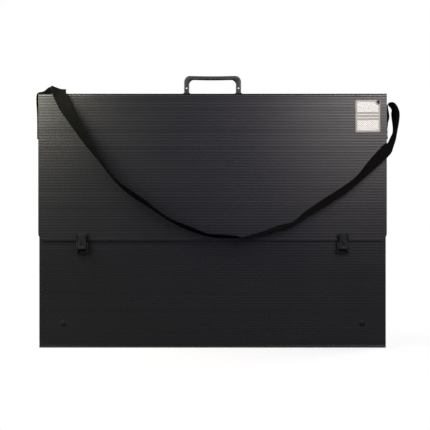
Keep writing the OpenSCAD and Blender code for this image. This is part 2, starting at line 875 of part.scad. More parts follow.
// Rings of the webbing from station a to station b, four corners each
function strap_rings(a, b) = [for (j = [a * ring_steps : b * ring_steps])
    let (i = min(floor(j / ring_steps), last_place - 1), t = j / ring_steps - i,
        p = on_line(places, i, t),
        near = t < 0.99 ? on_line(places, i, t + 0.01) : p,
        before = t > 0.01 ? on_line(places, i, t - 0.01) : p,
        run = unit(near - before),
        raw = on_line(across, i, t),
        w = unit(raw - (raw * run) * run) * strap_w / 2,
        n = unit(cross(run, w)) * strap_t / 2)
    each [p - w - n, p + w - n, p + w + n, p - w + n]];

module webbing(a, b) {
    points = strap_rings(a, b);
    polyhedron(points = points, faces = loft_faces(len(points) / 4, 4, 2));
}

// The hem is folded twice behind itself and riveted to the side wall through its three plies
module hemmed(side, a, b) {
    folded_t = hem_t - 0.8 * strap_t;
    color(webbing_black)
        difference() {
            union() {
                webbing(a, b);
                translate([side > 0 ? hem_x : -hem_x - folded_t, strap_y - strap_w / 2, strap_low_z])
                    cube([folded_t, strap_w, hem_l]);
            }
            translate([side * hem_x, strap_y, strap_rivet_z])
                rotate([0, side * 90, 0])
                    translate([0, 0, -cut])
                        cylinder(h = hem_t + 2 * cut, r = rivet_shank_r + pin_gap);
        }
}

left_end = first_turn + 1;
right_end = first_turn + len(left_stations) + len(middle_stations) + len(right_stations) - 1;

module strap_left() {
    hemmed(-1, 0, left_end);
}

module strap_front() {
    color(webbing_black)
        webbing(left_end, right_end);
}

module strap_right() {
    hemmed(1, right_end, last_place);
}

module strap_rivet(side) {
    color(clip_grey)
        translate([side * (hem_x + hem_t), strap_y, strap_rivet_z])
            rotate([0, side * 90, 0])
                rivet(strap_rivet_r, hem_t + seat_gap + board_t + washer_t);
}

module strap_washer(side) {
    color(clip_grey)
        translate([side * (half_w - board_t), strap_y, strap_rivet_z])
            rotate([0, -side * 90, 0])
                washer();
}

module left_strap_rivet() {
    strap_rivet(-1);
}

module right_strap_rivet() {
    strap_rivet(1);
}

module left_strap_washer() {
    strap_washer(-1);
}

module right_strap_washer() {
    strap_washer(1);
}

// Hang tag and the knotted tie through its corner
module tag() {
    color(tag_beige)
        difference() {
            translate([tag_x, 0, tag_z])
                along_y(front_y, tag_t)
                    rounded_rect(tag_w, tag_l, tag_r);
            hole_y(tag_hole_x, tag_hole_z, tie_r + pin_gap, front_y - tag_t, tag_t);
        }
}

module tag_tie() {
    lean = 25;
    color(webbing_black)
        translate([tag_hole_x, front_y - tag_t, tag_hole_z]) {
            for (s = [-1, 1])
                rotate([0, lean, 0])
                    translate([0, -knot_r, s * knot_r * 0.8])
                        sphere(knot_r);
            translate([0, -knot_r, 0])
                rotate([-90, 0, 0])
                    cylinder(h = knot_r + tag_t + board_t + 0.5, r = tie_r);
            translate([0, tag_t + board_t, 0])
                rotate([-90, 0, 0])
                    cylinder(h = 1, r = 1.2 * knot_r);
        }
}

back_panel();
bottom_panel();
front_panel();
left_side_wall();
right_side_wall();
bottom_back_crease();
bottom_front_crease();
back_crease();
front_crease();
left_corner_rivet();
right_corner_rivet();
left_corner_washer();
right_corner_washer();
top_panel();
flap();
handle();
handle_collars();
handle_plate();
left_clip_base();
right_clip_base();
left_clip_pin();
right_clip_pin();
left_clip_lever();
right_clip_lever();
left_keeper();
right_keeper();
left_base_plate();
right_base_plate();
left_keeper_plate();
right_keeper_plate();
strap_left();
strap_front();
strap_right();
left_strap_rivet();
right_strap_rivet();
left_strap_washer();
right_strap_washer();
tag();
tag_tie();
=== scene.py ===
"""Drawing portfolio case: fluted board, creases, snap clips, handle, webbing strap, tag and stage."""

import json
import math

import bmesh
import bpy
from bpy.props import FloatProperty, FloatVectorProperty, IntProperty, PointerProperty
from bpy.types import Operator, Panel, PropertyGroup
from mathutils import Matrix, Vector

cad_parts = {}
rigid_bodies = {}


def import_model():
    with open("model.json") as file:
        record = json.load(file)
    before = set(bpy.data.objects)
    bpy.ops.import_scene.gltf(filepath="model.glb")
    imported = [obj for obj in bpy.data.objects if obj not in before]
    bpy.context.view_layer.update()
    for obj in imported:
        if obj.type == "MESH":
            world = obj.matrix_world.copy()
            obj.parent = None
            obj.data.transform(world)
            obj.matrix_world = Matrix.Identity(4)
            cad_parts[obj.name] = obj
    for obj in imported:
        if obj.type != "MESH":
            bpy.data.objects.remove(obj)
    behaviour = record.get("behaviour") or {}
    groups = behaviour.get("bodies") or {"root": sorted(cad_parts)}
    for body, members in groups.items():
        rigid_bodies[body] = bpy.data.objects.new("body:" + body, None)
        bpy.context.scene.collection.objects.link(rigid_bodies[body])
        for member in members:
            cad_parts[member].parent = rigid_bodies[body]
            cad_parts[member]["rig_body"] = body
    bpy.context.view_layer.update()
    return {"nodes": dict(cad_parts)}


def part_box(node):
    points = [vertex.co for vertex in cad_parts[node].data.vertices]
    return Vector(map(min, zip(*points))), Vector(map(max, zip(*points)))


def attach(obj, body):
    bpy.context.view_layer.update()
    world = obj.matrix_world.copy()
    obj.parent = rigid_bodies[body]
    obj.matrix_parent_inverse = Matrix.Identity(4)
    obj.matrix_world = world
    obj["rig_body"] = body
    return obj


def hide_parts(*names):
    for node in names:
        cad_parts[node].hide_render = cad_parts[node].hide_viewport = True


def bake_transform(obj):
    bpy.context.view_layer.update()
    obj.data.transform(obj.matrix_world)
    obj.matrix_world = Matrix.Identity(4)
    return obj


bl_info = {
    "name": "Drawing Portfolio Case",
    "version": (1, 0, 0),
    "blender": (4, 5, 0),
    "location": "3D View > Sidebar > Portfolio Case",
    "description": "Makes the boards, clips, handle, strap and tag of a drawing portfolio case",
    "category": "Add Mesh",
}

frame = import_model()

MM = 0.001
SIDES = {"left": -1, "right": 1}
X, Y, Z = Vector((1, 0, 0)), Vector((0, 1, 0)), Vector((0, 0, 1))


# Places and sizes read from the frame
def low(node):
    """The lowest corner of a node's box."""
    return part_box(node)[0]


def high(node):
    """The highest corner of a node's box."""
    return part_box(node)[1]


def middle(node):
    """The middle of a node's box."""
    return (low(node) + high(node)) / 2


def size(node):
    """The width, depth and height of a node's box."""
    return high(node) - low(node)


BOARD_T = size("back_crease").z
FLAP_FACE_Y = low("flap").y
CASE_TOP_Z = high("top_panel").z
HALF_W = high("back_panel").x
# The strap's hems lie this far off the side walls, and their middle this far in from the front panel
HEM_GAP = 0.3 * MM
HEM_IN = 19 * MM
HEM_X = HALF_W + HEM_GAP
STRAP_Y = low("front_panel").y + HEM_IN
# Points nearer than this are one point
WELD = 0.002 * MM


# Sizes and colours that a user would change
class BoardSettings(PropertyGroup):
    """The fluted board."""
    thickness: FloatProperty(name="Thickness", description="Thickness of the board",
                             default=BOARD_T, unit="LENGTH")
    skin: FloatProperty(name="Skin", description="Thickness of each skin", default=0.7 * MM, unit="LENGTH")
    rib: FloatProperty(name="Rib", description="Thickness of the ribs", default=0.8 * MM, unit="LENGTH")
    pitch: FloatProperty(name="Flute pitch", description="Distance from one rib to the next",
                         default=7.5 * MM, unit="LENGTH")
    margin: FloatProperty(name="Margin", description="Least solid margin before the first flute",
                          default=3.4 * MM, unit="LENGTH")
    sag: FloatProperty(name="Skin sag", description="How far a skin sinks between two ribs",
                       default=0.12 * MM, unit="LENGTH")
    seat: FloatProperty(name="Seat", description="Running clearance round the bead of a crease",
                        default=0.1 * MM, unit="LENGTH")
    lip: FloatProperty(name="Lip", description="How near the outer skin comes to the middle of the bead",
                       default=1.2 * MM, unit="LENGTH")
    flap_corner: FloatProperty(name="Flap corner", description="Radius of the flap's lower corners",
                               default=20 * MM, unit="LENGTH")
    front_corner: FloatProperty(name="Front corner", description="Radius of the front panel's upper corners",
                                default=12 * MM, unit="LENGTH")
    tab_drop: FloatProperty(name="Tab drop", description="From the front panel's edge down to the tabs",
                            default=10 * MM, unit="LENGTH")
    steps: IntProperty(name="Steps", description="Points along each flute's wave", default=8)
    colour: FloatVectorProperty(name="Colour", description="Colour of the board", subtype="COLOR",
                                size=3, default=(0.0045, 0.0045, 0.0046))


class HardwareSettings(PropertyGroup):
    """Clips, rivets, washers and plates."""
    edge: FloatProperty(name="Edge", description="Width of the rounded edges", default=0.35 * MM,
                        unit="LENGTH")
    sill: FloatProperty(name="Sill", description="Height of a keeper's sill, with its thumb ramp",
                        default=9.8 * MM, unit="LENGTH")
    brow: FloatProperty(name="Brow", description="Height at which the thumb ramp starts to slope",
                        default=8.2 * MM, unit="LENGTH")
    bar: FloatProperty(name="Bar", description="Height of the bar below a sill", default=3.2 * MM,
                       unit="LENGTH")
    plate: FloatProperty(name="Plate", description="Thickness of a keeper's plate", default=2 * MM,
                         unit="LENGTH")
    colour: FloatVectorProperty(name="Colour", description="Colour of the moulded clips", subtype="COLOR",
                                size=3, default=(0.0043, 0.0043, 0.0044))


class HandleSettings(PropertyGroup):
    """The push-down handle."""
    width: FloatProperty(name="Width", description="Width over the legs", default=154 * MM, unit="LENGTH")
    leg: FloatProperty(name="Leg", description="Width of a leg", default=14.5 * MM, unit="LENGTH")
    leg_depth: FloatProperty(name="Leg depth", description="Depth of a leg", default=9 * MM, unit="LENGTH")
    grip_depth: FloatProperty(name="Grip depth", description="Depth of the grip", default=size("handle").y,
                              unit="LENGTH")
    grip: FloatProperty(name="Grip", description="Height of the grip at its ends", default=10.4 * MM,
                        unit="LENGTH")
    sag: FloatProperty(name="Sag", description="How much lower the middle of the grip lies",
                       default=1.0 * MM, unit="LENGTH")
    outer: FloatProperty(name="Outer corner", description="Outer radius of the corners", default=16 * MM,
                         unit="LENGTH")
    inner: FloatProperty(name="Inner corner", description="Inner radius of the corners", default=13 * MM,
                         unit="LENGTH")
    hole: FloatProperty(name="Hole", description="Radius of the hole at the head of each slit",
                        default=2.3 * MM, unit="LENGTH")
    hole_up: FloatProperty(name="Hole height", description="Height of the hole above the top panel",
                           default=17 * MM, unit="LENGTH")
    slit: FloatProperty(name="Slit", description="Width of the slits", default=0.8 * MM, unit="LENGTH")
    skew: FloatProperty(name="Slit skew", description="How far the slits turn out of line",
                        default=math.radians(8), subtype="ANGLE")
    barb: FloatProperty(name="Barb", description="How far each barb stands out", default=1.6 * MM,
                        unit="LENGTH")
    barb_length: FloatProperty(name="Barb length", description="Length of the forked ends",
                               default=13 * MM, unit="LENGTH")
    colour: FloatVectorProperty(name="Colour", description="Colour of the handle", subtype="COLOR",
                                size=3, default=(0.017, 0.017, 0.020))


class StrapSettings(PropertyGroup):
    """The webbing shoulder strap."""
    width: FloatProperty(name="Width", description="Width of the webbing", default=38 * MM, unit="LENGTH")
    thickness: FloatProperty(name="Thickness", description="Thickness of the webbing", default=1.6 * MM,
                             unit="LENGTH")
    gap: FloatProperty(name="Gap", description="Clearance between webbing and flap", default=0.6 * MM,
                       unit="LENGTH")
    slack: FloatProperty(name="Hem slack", description="Slack between the three plies of a hem",
                         default=0.4 * MM, unit="LENGTH")
    hem: FloatProperty(name="Hem", description="Length of the folded hems", default=42 * MM,
                       unit="LENGTH")
    ring: FloatProperty(name="Ring", description="Distance from one cross-section to the next",
                        default=4 * MM, unit="LENGTH")
    stitch: FloatProperty(name="Stitch", description="Distance from one stitch to the next",
                          default=3.2 * MM, unit="LENGTH")
    colour: FloatVectorProperty(name="Colour", description="Colour of the yarn", subtype="COLOR",
                                size=3, default=(0.0015, 0.0015, 0.0012))
    thread: FloatVectorProperty(name="Thread", description="Colour of the sewing thread", subtype="COLOR",
                                size=3, default=(0.02, 0.02, 0.021))
    # Painted light: how much paler the webbing's colour is made on its underside near the lid, where no lamp
    # reaches
    painted_underside: FloatProperty(name="Underside", description="How much paler the lint is where it rubs the lid",
                         default=45.0)


class TagSettings(PropertyGroup):
    """The hang tag."""
    corner: FloatProperty(name="Corner", description="Radius of the tag's corners", default=3 * MM,
                          unit="LENGTH")
    hole_in: FloatProperty(name="Hole", description="Distance of the hole in from the corner",
                           default=5 * MM, unit="LENGTH")
    tilt: FloatProperty(name="Tilt", description="How far the tag leans", default=math.radians(0.3),
                        subtype="ANGLE")
    card: FloatVectorProperty(name="Card", description="Colour of the card", subtype="COLOR", size=3,
                              default=(0.252, 0.240, 0.188))
    print_colour: FloatVectorProperty(name="Print", description="Colour of the print on the card",
                                      subtype="COLOR", size=3, default=(0.77, 0.785, 0.705))
    cord: FloatVectorProperty(name="Cord", description="Colour of the tie's cord", subtype="COLOR", size=3,
                              default=(0.008, 0.008, 0.0085))


class StageSettings(PropertyGroup):
    """Floor, lights and camera."""
    floor: FloatVectorProperty(name="Floor", description="Colour of the floor", subtype="COLOR", size=3,
                               default=(0.77, 0.77, 0.76))
    glow: FloatProperty(name="Floor glow", description="Share of plain white in the floor", default=0.60,
                        subtype="FACTOR")
    bounce: FloatProperty(name="Floor bounce", description="How bright the floor is to other things",
                          default=0.32, subtype="FACTOR")
    distance: FloatProperty(name="Distance", description="From the camera to the flap", default=3.0,
                            unit="LENGTH")
    aside: FloatProperty(name="Aside", description="How far right of the middle the camera stands",
                         default=0.0066, unit="LENGTH")
    eye: FloatProperty(name="Eye", description="Height of the camera", default=0.3555, unit="LENGTH")
    lens: FloatProperty(name="Lens", description="Focal length in millimetres", default=93.96)
    sensor: FloatProperty(name="Sensor", description="Width of the camera's sensor in millimetres",
                          default=36)
    room: FloatProperty(name="Room", description="Strength of the room's light from all round",
                        default=0.09)
    room_colour: FloatVectorProperty(name="Room colour", description="Colour of the room's light",
                                     subtype="COLOR", size=3, default=(0.95, 0.97, 1))


SETTINGS = {
    "portfolio_board": BoardSettings,
    "portfolio_hardware": HardwareSettings,
    "portfolio_handle": HandleSettings,
    "portfolio_strap": StrapSettings,
    "portfolio_tag": TagSettings,
    "portfolio_stage": StageSettings,
}


# Nodes, for materials and for geometry alike
class Value:
    """A socket that can be used in expressions: each operator adds its Math node."""

    def __init__(self, graph, socket):
        self.graph = graph
        self.socket = socket

    def math(self, operation, *others):
        """The result of a Math node on this value and the others."""
        inputs = dict(enumerate((self,) + others))
        return self.graph.node("ShaderNodeMath", {"operation": operation}, inputs)["Value"]

    def swapped(self, operation, other):
        """The same with this value in second place."""
        return self.graph.node("ShaderNodeMath", {"operation": operation}, {0: other, 1: self})["Value"]

    def __add__(self, other):
        return self.math("ADD", other)

    def __radd__(self, other):
        return self.swapped("ADD", other)

    def __sub__(self, other):
        return self.math("SUBTRACT", other)

    def __rsub__(self, other):
        return self.swapped("SUBTRACT", other)

    def __mul__(self, other):
        return self.math("MULTIPLY", other)

    def __rmul__(self, other):
        return self.swapped("MULTIPLY", other)

    def __truediv__(self, other):
        return self.math("DIVIDE", other)

    def __rtruediv__(self, other):
        return self.swapped("DIVIDE", other)

    def __gt__(self, other):
        return self.math("GREATER_THAN", other)

    def __lt__(self, other):
        return self.math("LESS_THAN", other)

    def __abs__(self):
        return self.math("ABSOLUTE")

    def wave(self):
        """0 at each whole number and 1 halfway between two."""
        return 0.5 - (self * (2 * math.pi)).math("COSINE") * 0.5


class Made:
    """A node just made; its outputs are read by name or number."""

    def __init__(self, graph, node):
        self.graph = graph
        self.node = node

    def __getitem__(self, key):
        return Value(self.graph, self.node.outputs[key])


class Graph:
    """Adds nodes to one tree."""

    def __init__(self, tree):
        self.tree = tree

    def join(self, value, socket):
        """Links a value to a socket, or sets the socket to it."""
        if isinstance(value, Value):
            self.tree.links.new(value.socket, socket)
        else:
            socket.default_value = value

    def node(self, kind, settings=None, inputs=None):
        """A node of that type: settings first, then the values or links of its sockets."""
        made = self.tree.nodes.new(kind)
        for key, value in (settings or {}).items():
            setattr(made, key, value)
        for key, value in (inputs or {}).items():
            self.join(value, made.inputs[key])
        return Made(self, made)

    def axes(self, vector):
        """The three numbers of a vector."""
        parts = self.node("ShaderNodeSeparateXYZ", inputs={0: vector})
        return parts["X"], parts["Y"], parts["Z"]

    def vector(self, x=0.0, y=0.0, z=0.0):
        """A vector of three numbers."""
        return self.node("ShaderNodeCombineXYZ", inputs={0: x, 1: y, 2: z})["Vector"]


class Finish(Graph):
    """A procedural material being made."""

    def __init__(self, name):
        self.material = bpy.data.materials.new(name)
        self.material.use_nodes = True
        super().__init__(self.material.node_tree)
        self.tree.nodes.clear()
        self.place = self.node("ShaderNodeTexCoord")["Object"]

    def uv(self):
        """The piece's own UV map, in metres."""
        return self.node("ShaderNodeUVMap")["UV"]

    def height(self):
        """Height above the floor, in metres."""
        return self.axes(self.place)[2]

    def facing_up(self):
        """1 where the surface faces up and -1 where it faces down."""
        return self.axes(self.node("ShaderNodeTexCoord")["Normal"])[2]

    def scaled(self, vector, x, y, z):
        """A vector stretched along its axes."""
        return self.node("ShaderNodeMapping", inputs={"Vector": vector, "Scale": (x, y, z)})["Vector"]

    def noise(self, vector, scale, detail=2.0, roughness=0.5):
        """Soft noise from 0 to 1."""
        return self.node("ShaderNodeTexNoise", inputs={
            "Vector": vector, "Scale": scale, "Detail": detail, "Roughness": roughness})["Fac"]

    def between(self, value, start, end):
        """0 at start and 1 at end, clamped."""
        return self.node("ShaderNodeMapRange", inputs={
            "Value": value, "From Min": start, "From Max": end})["Result"]

    def band(self, value, start, full, fading, end):
        """1 from full to fading, and 0 before start and after end."""
        return self.between(value, start, full) * self.between(value, end, fading)

    def mix(self, factor, a, b):
        """A mix of two colours."""
        return self.node("ShaderNodeMix", {"data_type": "RGBA"}, {0: factor, 6: a, 7: b})[2]

    def bump(self, height, distance, strength=1.0, normal=None):
        """A normal bent by a height from 0 to 1, which is distance metres high."""
        inputs = {"Height": height, "Distance": distance, "Strength": strength}
        if normal is not None:
            inputs["Normal"] = normal
        return self.node("ShaderNodeBump", inputs=inputs)["Normal"]

    def surface(self, **sockets):
        """Ends the material in one Principled shader and gives the material."""
        inputs = {name.replace("_", " "): value for name, value in sockets.items()}
        shader = self.node("ShaderNodeBsdfPrincipled", inputs=inputs)
        self.node("ShaderNodeOutputMaterial", inputs={"Surface": shader["BSDF"]})
        return self.material


def rgba(colour, factor=1.0):
    """A colour for a socket, made brighter or darker by a factor."""
    return (*(part * factor for part in colour), 1)


# Materials
def board_finish(name, settings, banding, gloss=0.36, pressed=0.0):
    """Satin extruded polypropylene: glossier between the ribs, with draw lines, dust and slow dents.

    Banding is how much glossier the skin is between the ribs, where its colour is also brightened as
    painted sheen, and pressed how bright the painted highlight is on the rim above the line that the
    crease's score pressed into the flap; that line itself is darkened as painted shade.
    """
    rim_depths = [depth * MM for depth in (2.6, 3.0, 5.4, 5.8)]
    groove_depths = [depth * MM for depth in (5.6, 6.0, 8.0, 8.6)]
    satin = 0.38
    f = Finish(name)
    uv = f.uv()
    turn = f.axes(uv)[1] / settings.pitch
    draw = f.noise(f.scaled(uv, 4, 1300, 1), 1.0, 3.0, 0.6)
    bands = f.noise(f.scaled(uv, 0.7, 60, 1), 1.0, 2.0)
    cloud = f.noise(f.place, 7.0, 3.0)
    specks = f.between(f.noise(f.place, 900.0, 2.0, 0.7), 0.70, 0.80)
    scuffs = f.between(f.noise(f.scaled(f.place, 30, 30, 160), 1.0, 4.0, 0.65), 0.66, 0.78)
    dust = specks * 0.4 + scuffs * 0.25
    flute = f.node("ShaderNodeTexWhiteNoise", {"noise_dimensions": "1D"},
                   {"W": turn.math("FLOOR")})["Value"]
    # Glossier skin between the ribs; the same mask brightens the colour below as painted sheen
    gloss_and_painted_sheen = turn.wave() * (0.2 + bands * 0.8 + flute * 0.8) * banding
    if pressed:
        below = CASE_TOP_Z - f.height()
        # Painted highlight: a bright rim just below the crease, where the rolled skin would catch light from
        # above
        rim = f.band(below, *rim_depths)
        # Painted shade: the pressed line is darkened and left without sheen, where shade would fall in it
        painted_groove_shade = f.band(below, *groove_depths)
        gloss_and_painted_sheen = (gloss_and_painted_sheen + rim * pressed) * (1 - painted_groove_shade)
    colour = f.mix(dust, rgba(settings.colour), rgba(settings.colour, 2.2))
    # Painted sheen: the colour is brightened between the ribs and on the rim under the crease
    colour = f.mix(gloss_and_painted_sheen, colour, rgba(settings.colour, 2.0))
    roughness = satin + (cloud - 0.5) * 0.08 + (draw - 0.5) * 0.08 + dust * 0.14 + (bands - 0.5) * 0.06
    if pressed:
        # Painted shade in the pressed line
        colour = f.mix(painted_groove_shade, colour, rgba(settings.colour, 0.4))
        roughness = roughness + painted_groove_shade * 0.12
    slow = f.bump(f.noise(f.scaled(f.place, 2.2, 2.2, 9), 1.0, 1.0), 1.6 * MM, 0.5)
    lines = f.bump(draw, 0.006 * MM, 0.5, slow)
    grain = f.bump(f.noise(f.place, 2600.0, 1.0), 0.003 * MM, 0.4, lines)
    return f.surface(Base_Color=colour, Roughness=roughness, Normal=grain, Specular_IOR_Level=gloss,
                     Coat_Weight=gloss_and_painted_sheen, Coat_Roughness=satin)


def moulded_finish(name, colour, rough, grain_height, gloss, shaded=None):
    """Moulded plastic with a fine spark-eroded grain, rubbed bright along its edges.

    Shaded gives where the piece is made matt and its colour darkened as painted shade, as a value from 0 to
    1.
    """
    f = Finish(name)
    cells = f.node("ShaderNodeTexVoronoi", {"feature": "SMOOTH_F1"},
                   {"Vector": f.place, "Scale": 1500.0})["Distance"]
    cloud = f.noise(f.place, 60.0, 3.0)
    rubbed = f.between(f.node("ShaderNodeNewGeometry")["Pointiness"], 0.52, 0.60) \
        * f.between(f.noise(f.place, 220.0, 3.0), 0.35, 0.6)
    shade = f.mix(rubbed * 0.6 + (cloud - 0.5) * 0.3, rgba(colour), rgba(colour, 2.4))
    roughness = rough + (cloud - 0.5) * 0.16 - rubbed * 0.12
    if shaded is not None:
        dark = shaded(f)
        # Painted shade: the colour is darkened where shaded says
        shade = f.mix(dark, shade, rgba(colour, 0.08))
        roughness = roughness + dark * 0.45
    normal = f.bump(cells, grain_height, 0.5, f.bump(cloud, 0.05 * MM, 0.4))
    return f.surface(Base_Color=shade, Roughness=roughness, Normal=normal, Specular_IOR_Level=gloss)


def unlit(f):
    """Painted shade on the handle, which is made matt there as well: under its grip, and at its feet beside
    the collars.
    """
    painted_underside = f.between(f.facing_up(), -0.06, -0.30)
    painted_foot_shade = f.between(f.height(), CASE_TOP_Z + 6 * MM, CASE_TOP_Z + 3.5 * MM) * 0.8
    return painted_underside.math("MAXIMUM", painted_foot_shade)


def painted_hinge_shade(f):
    """Painted shade on the clips, which are made matt there as well: the upward faces at their hinges, above
    the keepers.
    """
    above = f.height() - high("left_keeper").z
    return f.between(f.facing_up(), 0.25, 0.6) * f.between(above, 2 * MM, 4 * MM) * 0.7


def webbing_finish(settings):
    """Woven webbing, on the piece's UV map, with painted light and shade on its weave, selvedges and
    underside.
    """
    yarn_width, pick_length = 1.9 * MM, 2.6 * MM
    selvedge = settings.width / 2 - 2.2 * MM
    f = Finish("webbing")
    across, along, _ = f.axes(f.uv())
    yarn = across / yarn_width
    twist = (yarn * math.pi).math("SINE")
    pick = along / pick_length + yarn.math("FLOOR") * 0.5
    beat = (pick * math.pi).math("SINE")
    weave = abs(twist) * 0.55 + abs(beat) * 0.45
    fuzz = f.noise(f.place, 3200.0, 2.0, 0.7)
    edge = f.between(abs(across), selvedge, selvedge + 1 * MM)
    wear = f.noise(f.scaled(f.uv(), 60, 12, 1), 1.0, 3.0)
    # Painted shade in the weave's hollows and painted light on the yarns' crowns
    painted_weave_shade = f.between(weave, 0.15, 0.85)
    shade = f.mix(painted_weave_shade, rgba(settings.colour, 0.45), rgba(settings.colour, 1.35))
    # Random wear patches, and a painted highlight along both selvedges
    shade = f.mix(f.between(wear, 0.55, 0.8) * 0.5 + edge * 0.2, shade, rgba(settings.colour, 2.2))
    # Painted light: the underside near the lid is made much paler, standing in for light that no lamp brings
    # there
    rubbed = f.between(f.facing_up(), -0.45, -0.75) * f.between(f.height(), CASE_TOP_Z - 3 * MM, CASE_TOP_Z)
    shade = f.mix(rubbed, shade, rgba(settings.colour, settings.painted_underside))
    normal = f.bump(fuzz, 0.1 * MM, 0.5, f.bump(weave, 0.35 * MM, 0.9))
    return f.surface(Base_Color=shade, Roughness=0.8 + (fuzz - 0.5) * 0.2, Normal=normal,
                     Specular_IOR_Level=0.04)


def thread_finish(name, colour):
    """Twisted sewing thread or cord, with painted shade in the twist's grooves."""
    twist_length = 0.9 * MM
    f = Finish(name)
    x, y, z = f.axes(f.place)
    ply = ((x + y + z) * (2 * math.pi / twist_length)).math("SINE")
    # Painted shade in the twist's grooves and painted light on its ridges
    shade = f.mix(ply * 0.5 + 0.5, rgba(colour, 0.6), rgba(colour, 1.4))
    normal = f.bump(ply * 0.5 + 0.5, 0.12 * MM, 0.7)
    return f.surface(Base_Color=shade, Roughness=0.6 + f.noise(f.place, 800.0) * 0.2, Normal=normal,
                     Specular_IOR_Level=0.3)


def tag_finish(settings, width, height):
    """Beige card under a clear film, printed with a pale lattice and a blank ruled band to write on."""
    rim, cell, band, soft = 5 * MM, 5.2 * MM, 11 * MM, 0.3 * MM
    round_the_hole = 9 * MM
    f = Finish("tag_card")
    x, y, _ = f.axes(f.uv())

    def panel(left, right, bottom, top):
        return f.band(x, left - soft, left, right, right + soft) \
            * f.band(y, bottom - soft, bottom, top, top + soft)

    def stripe(value):
        return f.between(abs((value / cell).math("FRACT") - 0.5), 0.37, 0.33)

    middle_y = height / 2
    field = panel(rim, width - rim, rim, height - rim)
    written = panel(rim, width - rim, middle_y - band, middle_y + band)
    lattice = stripe(x + y) * stripe(x - y)
    rules = f.between(abs(abs(y - middle_y) - band * 0.4), 0.7 * MM, 0.4 * MM)
    hole_x, hole_y = x - (width - rim), y - (height - rim)
    away = f.between((hole_x * hole_x + hole_y * hole_y).math("SQRT"), round_the_hole,
                     round_the_hole + 0.4 * MM)
    ink = field * away * (lattice * (1 - written) + rules * written)
    fibre = f.noise(f.place, 700.0, 4.0, 0.7)
    mottle = f.noise(f.place, 70.0, 2.0)
    card = f.mix((fibre - 0.5) * 0.5 + mottle * 0.4, rgba(settings.card), rgba(settings.card, 0.88))
    white = f.mix(fibre * 0.4, rgba(settings.print_colour), rgba(settings.print_colour, 0.94))
    colour = f.mix(ink * 0.97, card, white)
    normal = f.bump(mottle, 0.25 * MM, 0.4, f.bump(fibre, 0.02 * MM, 0.3))
    return f.surface(Base_Color=colour, Roughness=0.46 + mottle * 0.12, Normal=normal)


def floor_finish(settings):
    """Plain pale floor: almost white to the camera, with the object's shadow, and dim in reflections.

    It fades to plain white from near to far, and sideways further out than in depth.
    """
    near, far, sideways = 0.12, 0.6, 0.3
    f = Finish("floor")
    seen = f.node("ShaderNodeLightPath")["Is Camera Ray"]
    cloud = f.noise(f.place, 1.5, 2.0)
    pale = f.mix(cloud, rgba(settings.floor), rgba(settings.floor, 0.985))
    colour = f.mix(seen, rgba(settings.floor, settings.bounce), pale)
    away = f.node("ShaderNodeVectorMath", {"operation": "LENGTH"},
                  {0: f.scaled(f.place, sideways, 1, 1)})["Value"]
    share = settings.glow + f.between(away, near, far) * (1 - settings.glow)
    matt = f.node("ShaderNodeBsdfDiffuse", inputs={"Color": colour})
    glow = f.node("ShaderNodeEmission", inputs={"Color": (1, 1, 1, 1), "Strength": 1.0})
    mixed = f.node("ShaderNodeMixShader", inputs={0: seen * share, 1: matt["BSDF"], 2: glow["Emission"]})
    f.node("ShaderNodeOutputMaterial", inputs={"Surface": mixed["Shader"]})
    return f.material


# Meshes
def drawn(name, vertices, edges, faces):
    """A mesh of those vertices, edges and faces."""
    mesh = bpy.data.meshes.new(name)
    mesh.from_pydata(vertices, edges, faces)
    return mesh


def linked(thing):
    """Puts an object in the scene."""
    bpy.context.scene.collection.objects.link(thing)
    return thing


def finished_mesh(work, mesh):
    """Writes the work into the mesh and frees it."""
    work.to_mesh(mesh)
    work.free()
    return mesh


def lofted(name, rings):
    """A closed mesh through rings of as many points each, its normals outwards."""
    count = len(rings[0])
    faces = []
    for i in range(len(rings) - 1):
        for k in range(count):
            a, b = i * count + k, i * count + (k + 1) % count
            faces.append((a, b, b + count, a + count))
    last = (len(rings) - 1) * count
    faces += [tuple(reversed(range(count))), tuple(range(last, last + count))]
    mesh = drawn(name, [point for ring in rings for point in ring], [], faces)
    work = bmesh.new()
    work.from_mesh(mesh)
    bmesh.ops.recalc_face_normals(work, faces=work.faces)
    return finished_mesh(work, mesh)


def dress(mesh, name, material, angle=35.0):
    """Links a mesh as a piece of that name and material, smooth apart from edges sharper than angle."""
    mesh.validate()
    mesh.polygons.foreach_set("use_smooth", [True] * len(mesh.polygons))
    mesh.set_sharp_from_angle(angle=math.radians(angle))
    mesh.materials.clear()
    mesh.materials.append(material)
    return linked(bpy.data.objects.new(name, mesh))


def drop(thing):
    """Removes a helper object and its mesh."""
    data = thing.data
    bpy.data.objects.remove(thing)
    if data is not None and data.users == 0:
        bpy.data.meshes.remove(data)


def evaluated(thing):
    """The object's mesh with its modifiers applied."""
    graph = bpy.context.evaluated_depsgraph_get()
    graph.update()
    return bpy.data.meshes.new_from_object(thing.evaluated_get(graph))


def cut(piece, tool, operation):
    """Cuts or joins piece with tool, and drops the tool."""
    modifier = piece.modifiers.new("cut", "BOOLEAN")
    modifier.operation = operation
    modifier.solver = "EXACT"
    modifier.object = tool
    mesh = evaluated(piece)
    piece.modifiers.remove(modifier)
    old = piece.data
    piece.data = mesh
    bpy.data.meshes.remove(old)
    drop(tool)


def tidy(mesh):
    """Merges doubles, joins flat faces and turns the normals outwards."""
    work = bmesh.new()
    work.from_mesh(mesh)
    bmesh.ops.remove_doubles(work, verts=work.verts, dist=WELD)
    bmesh.ops.dissolve_degenerate(work, edges=work.edges, dist=WELD)
    bmesh.ops.dissolve_limit(work, angle_limit=math.radians(0.5), verts=work.verts, edges=work.edges)
    bmesh.ops.recalc_face_normals(work, faces=work.faces)
    finished_mesh(work, mesh)


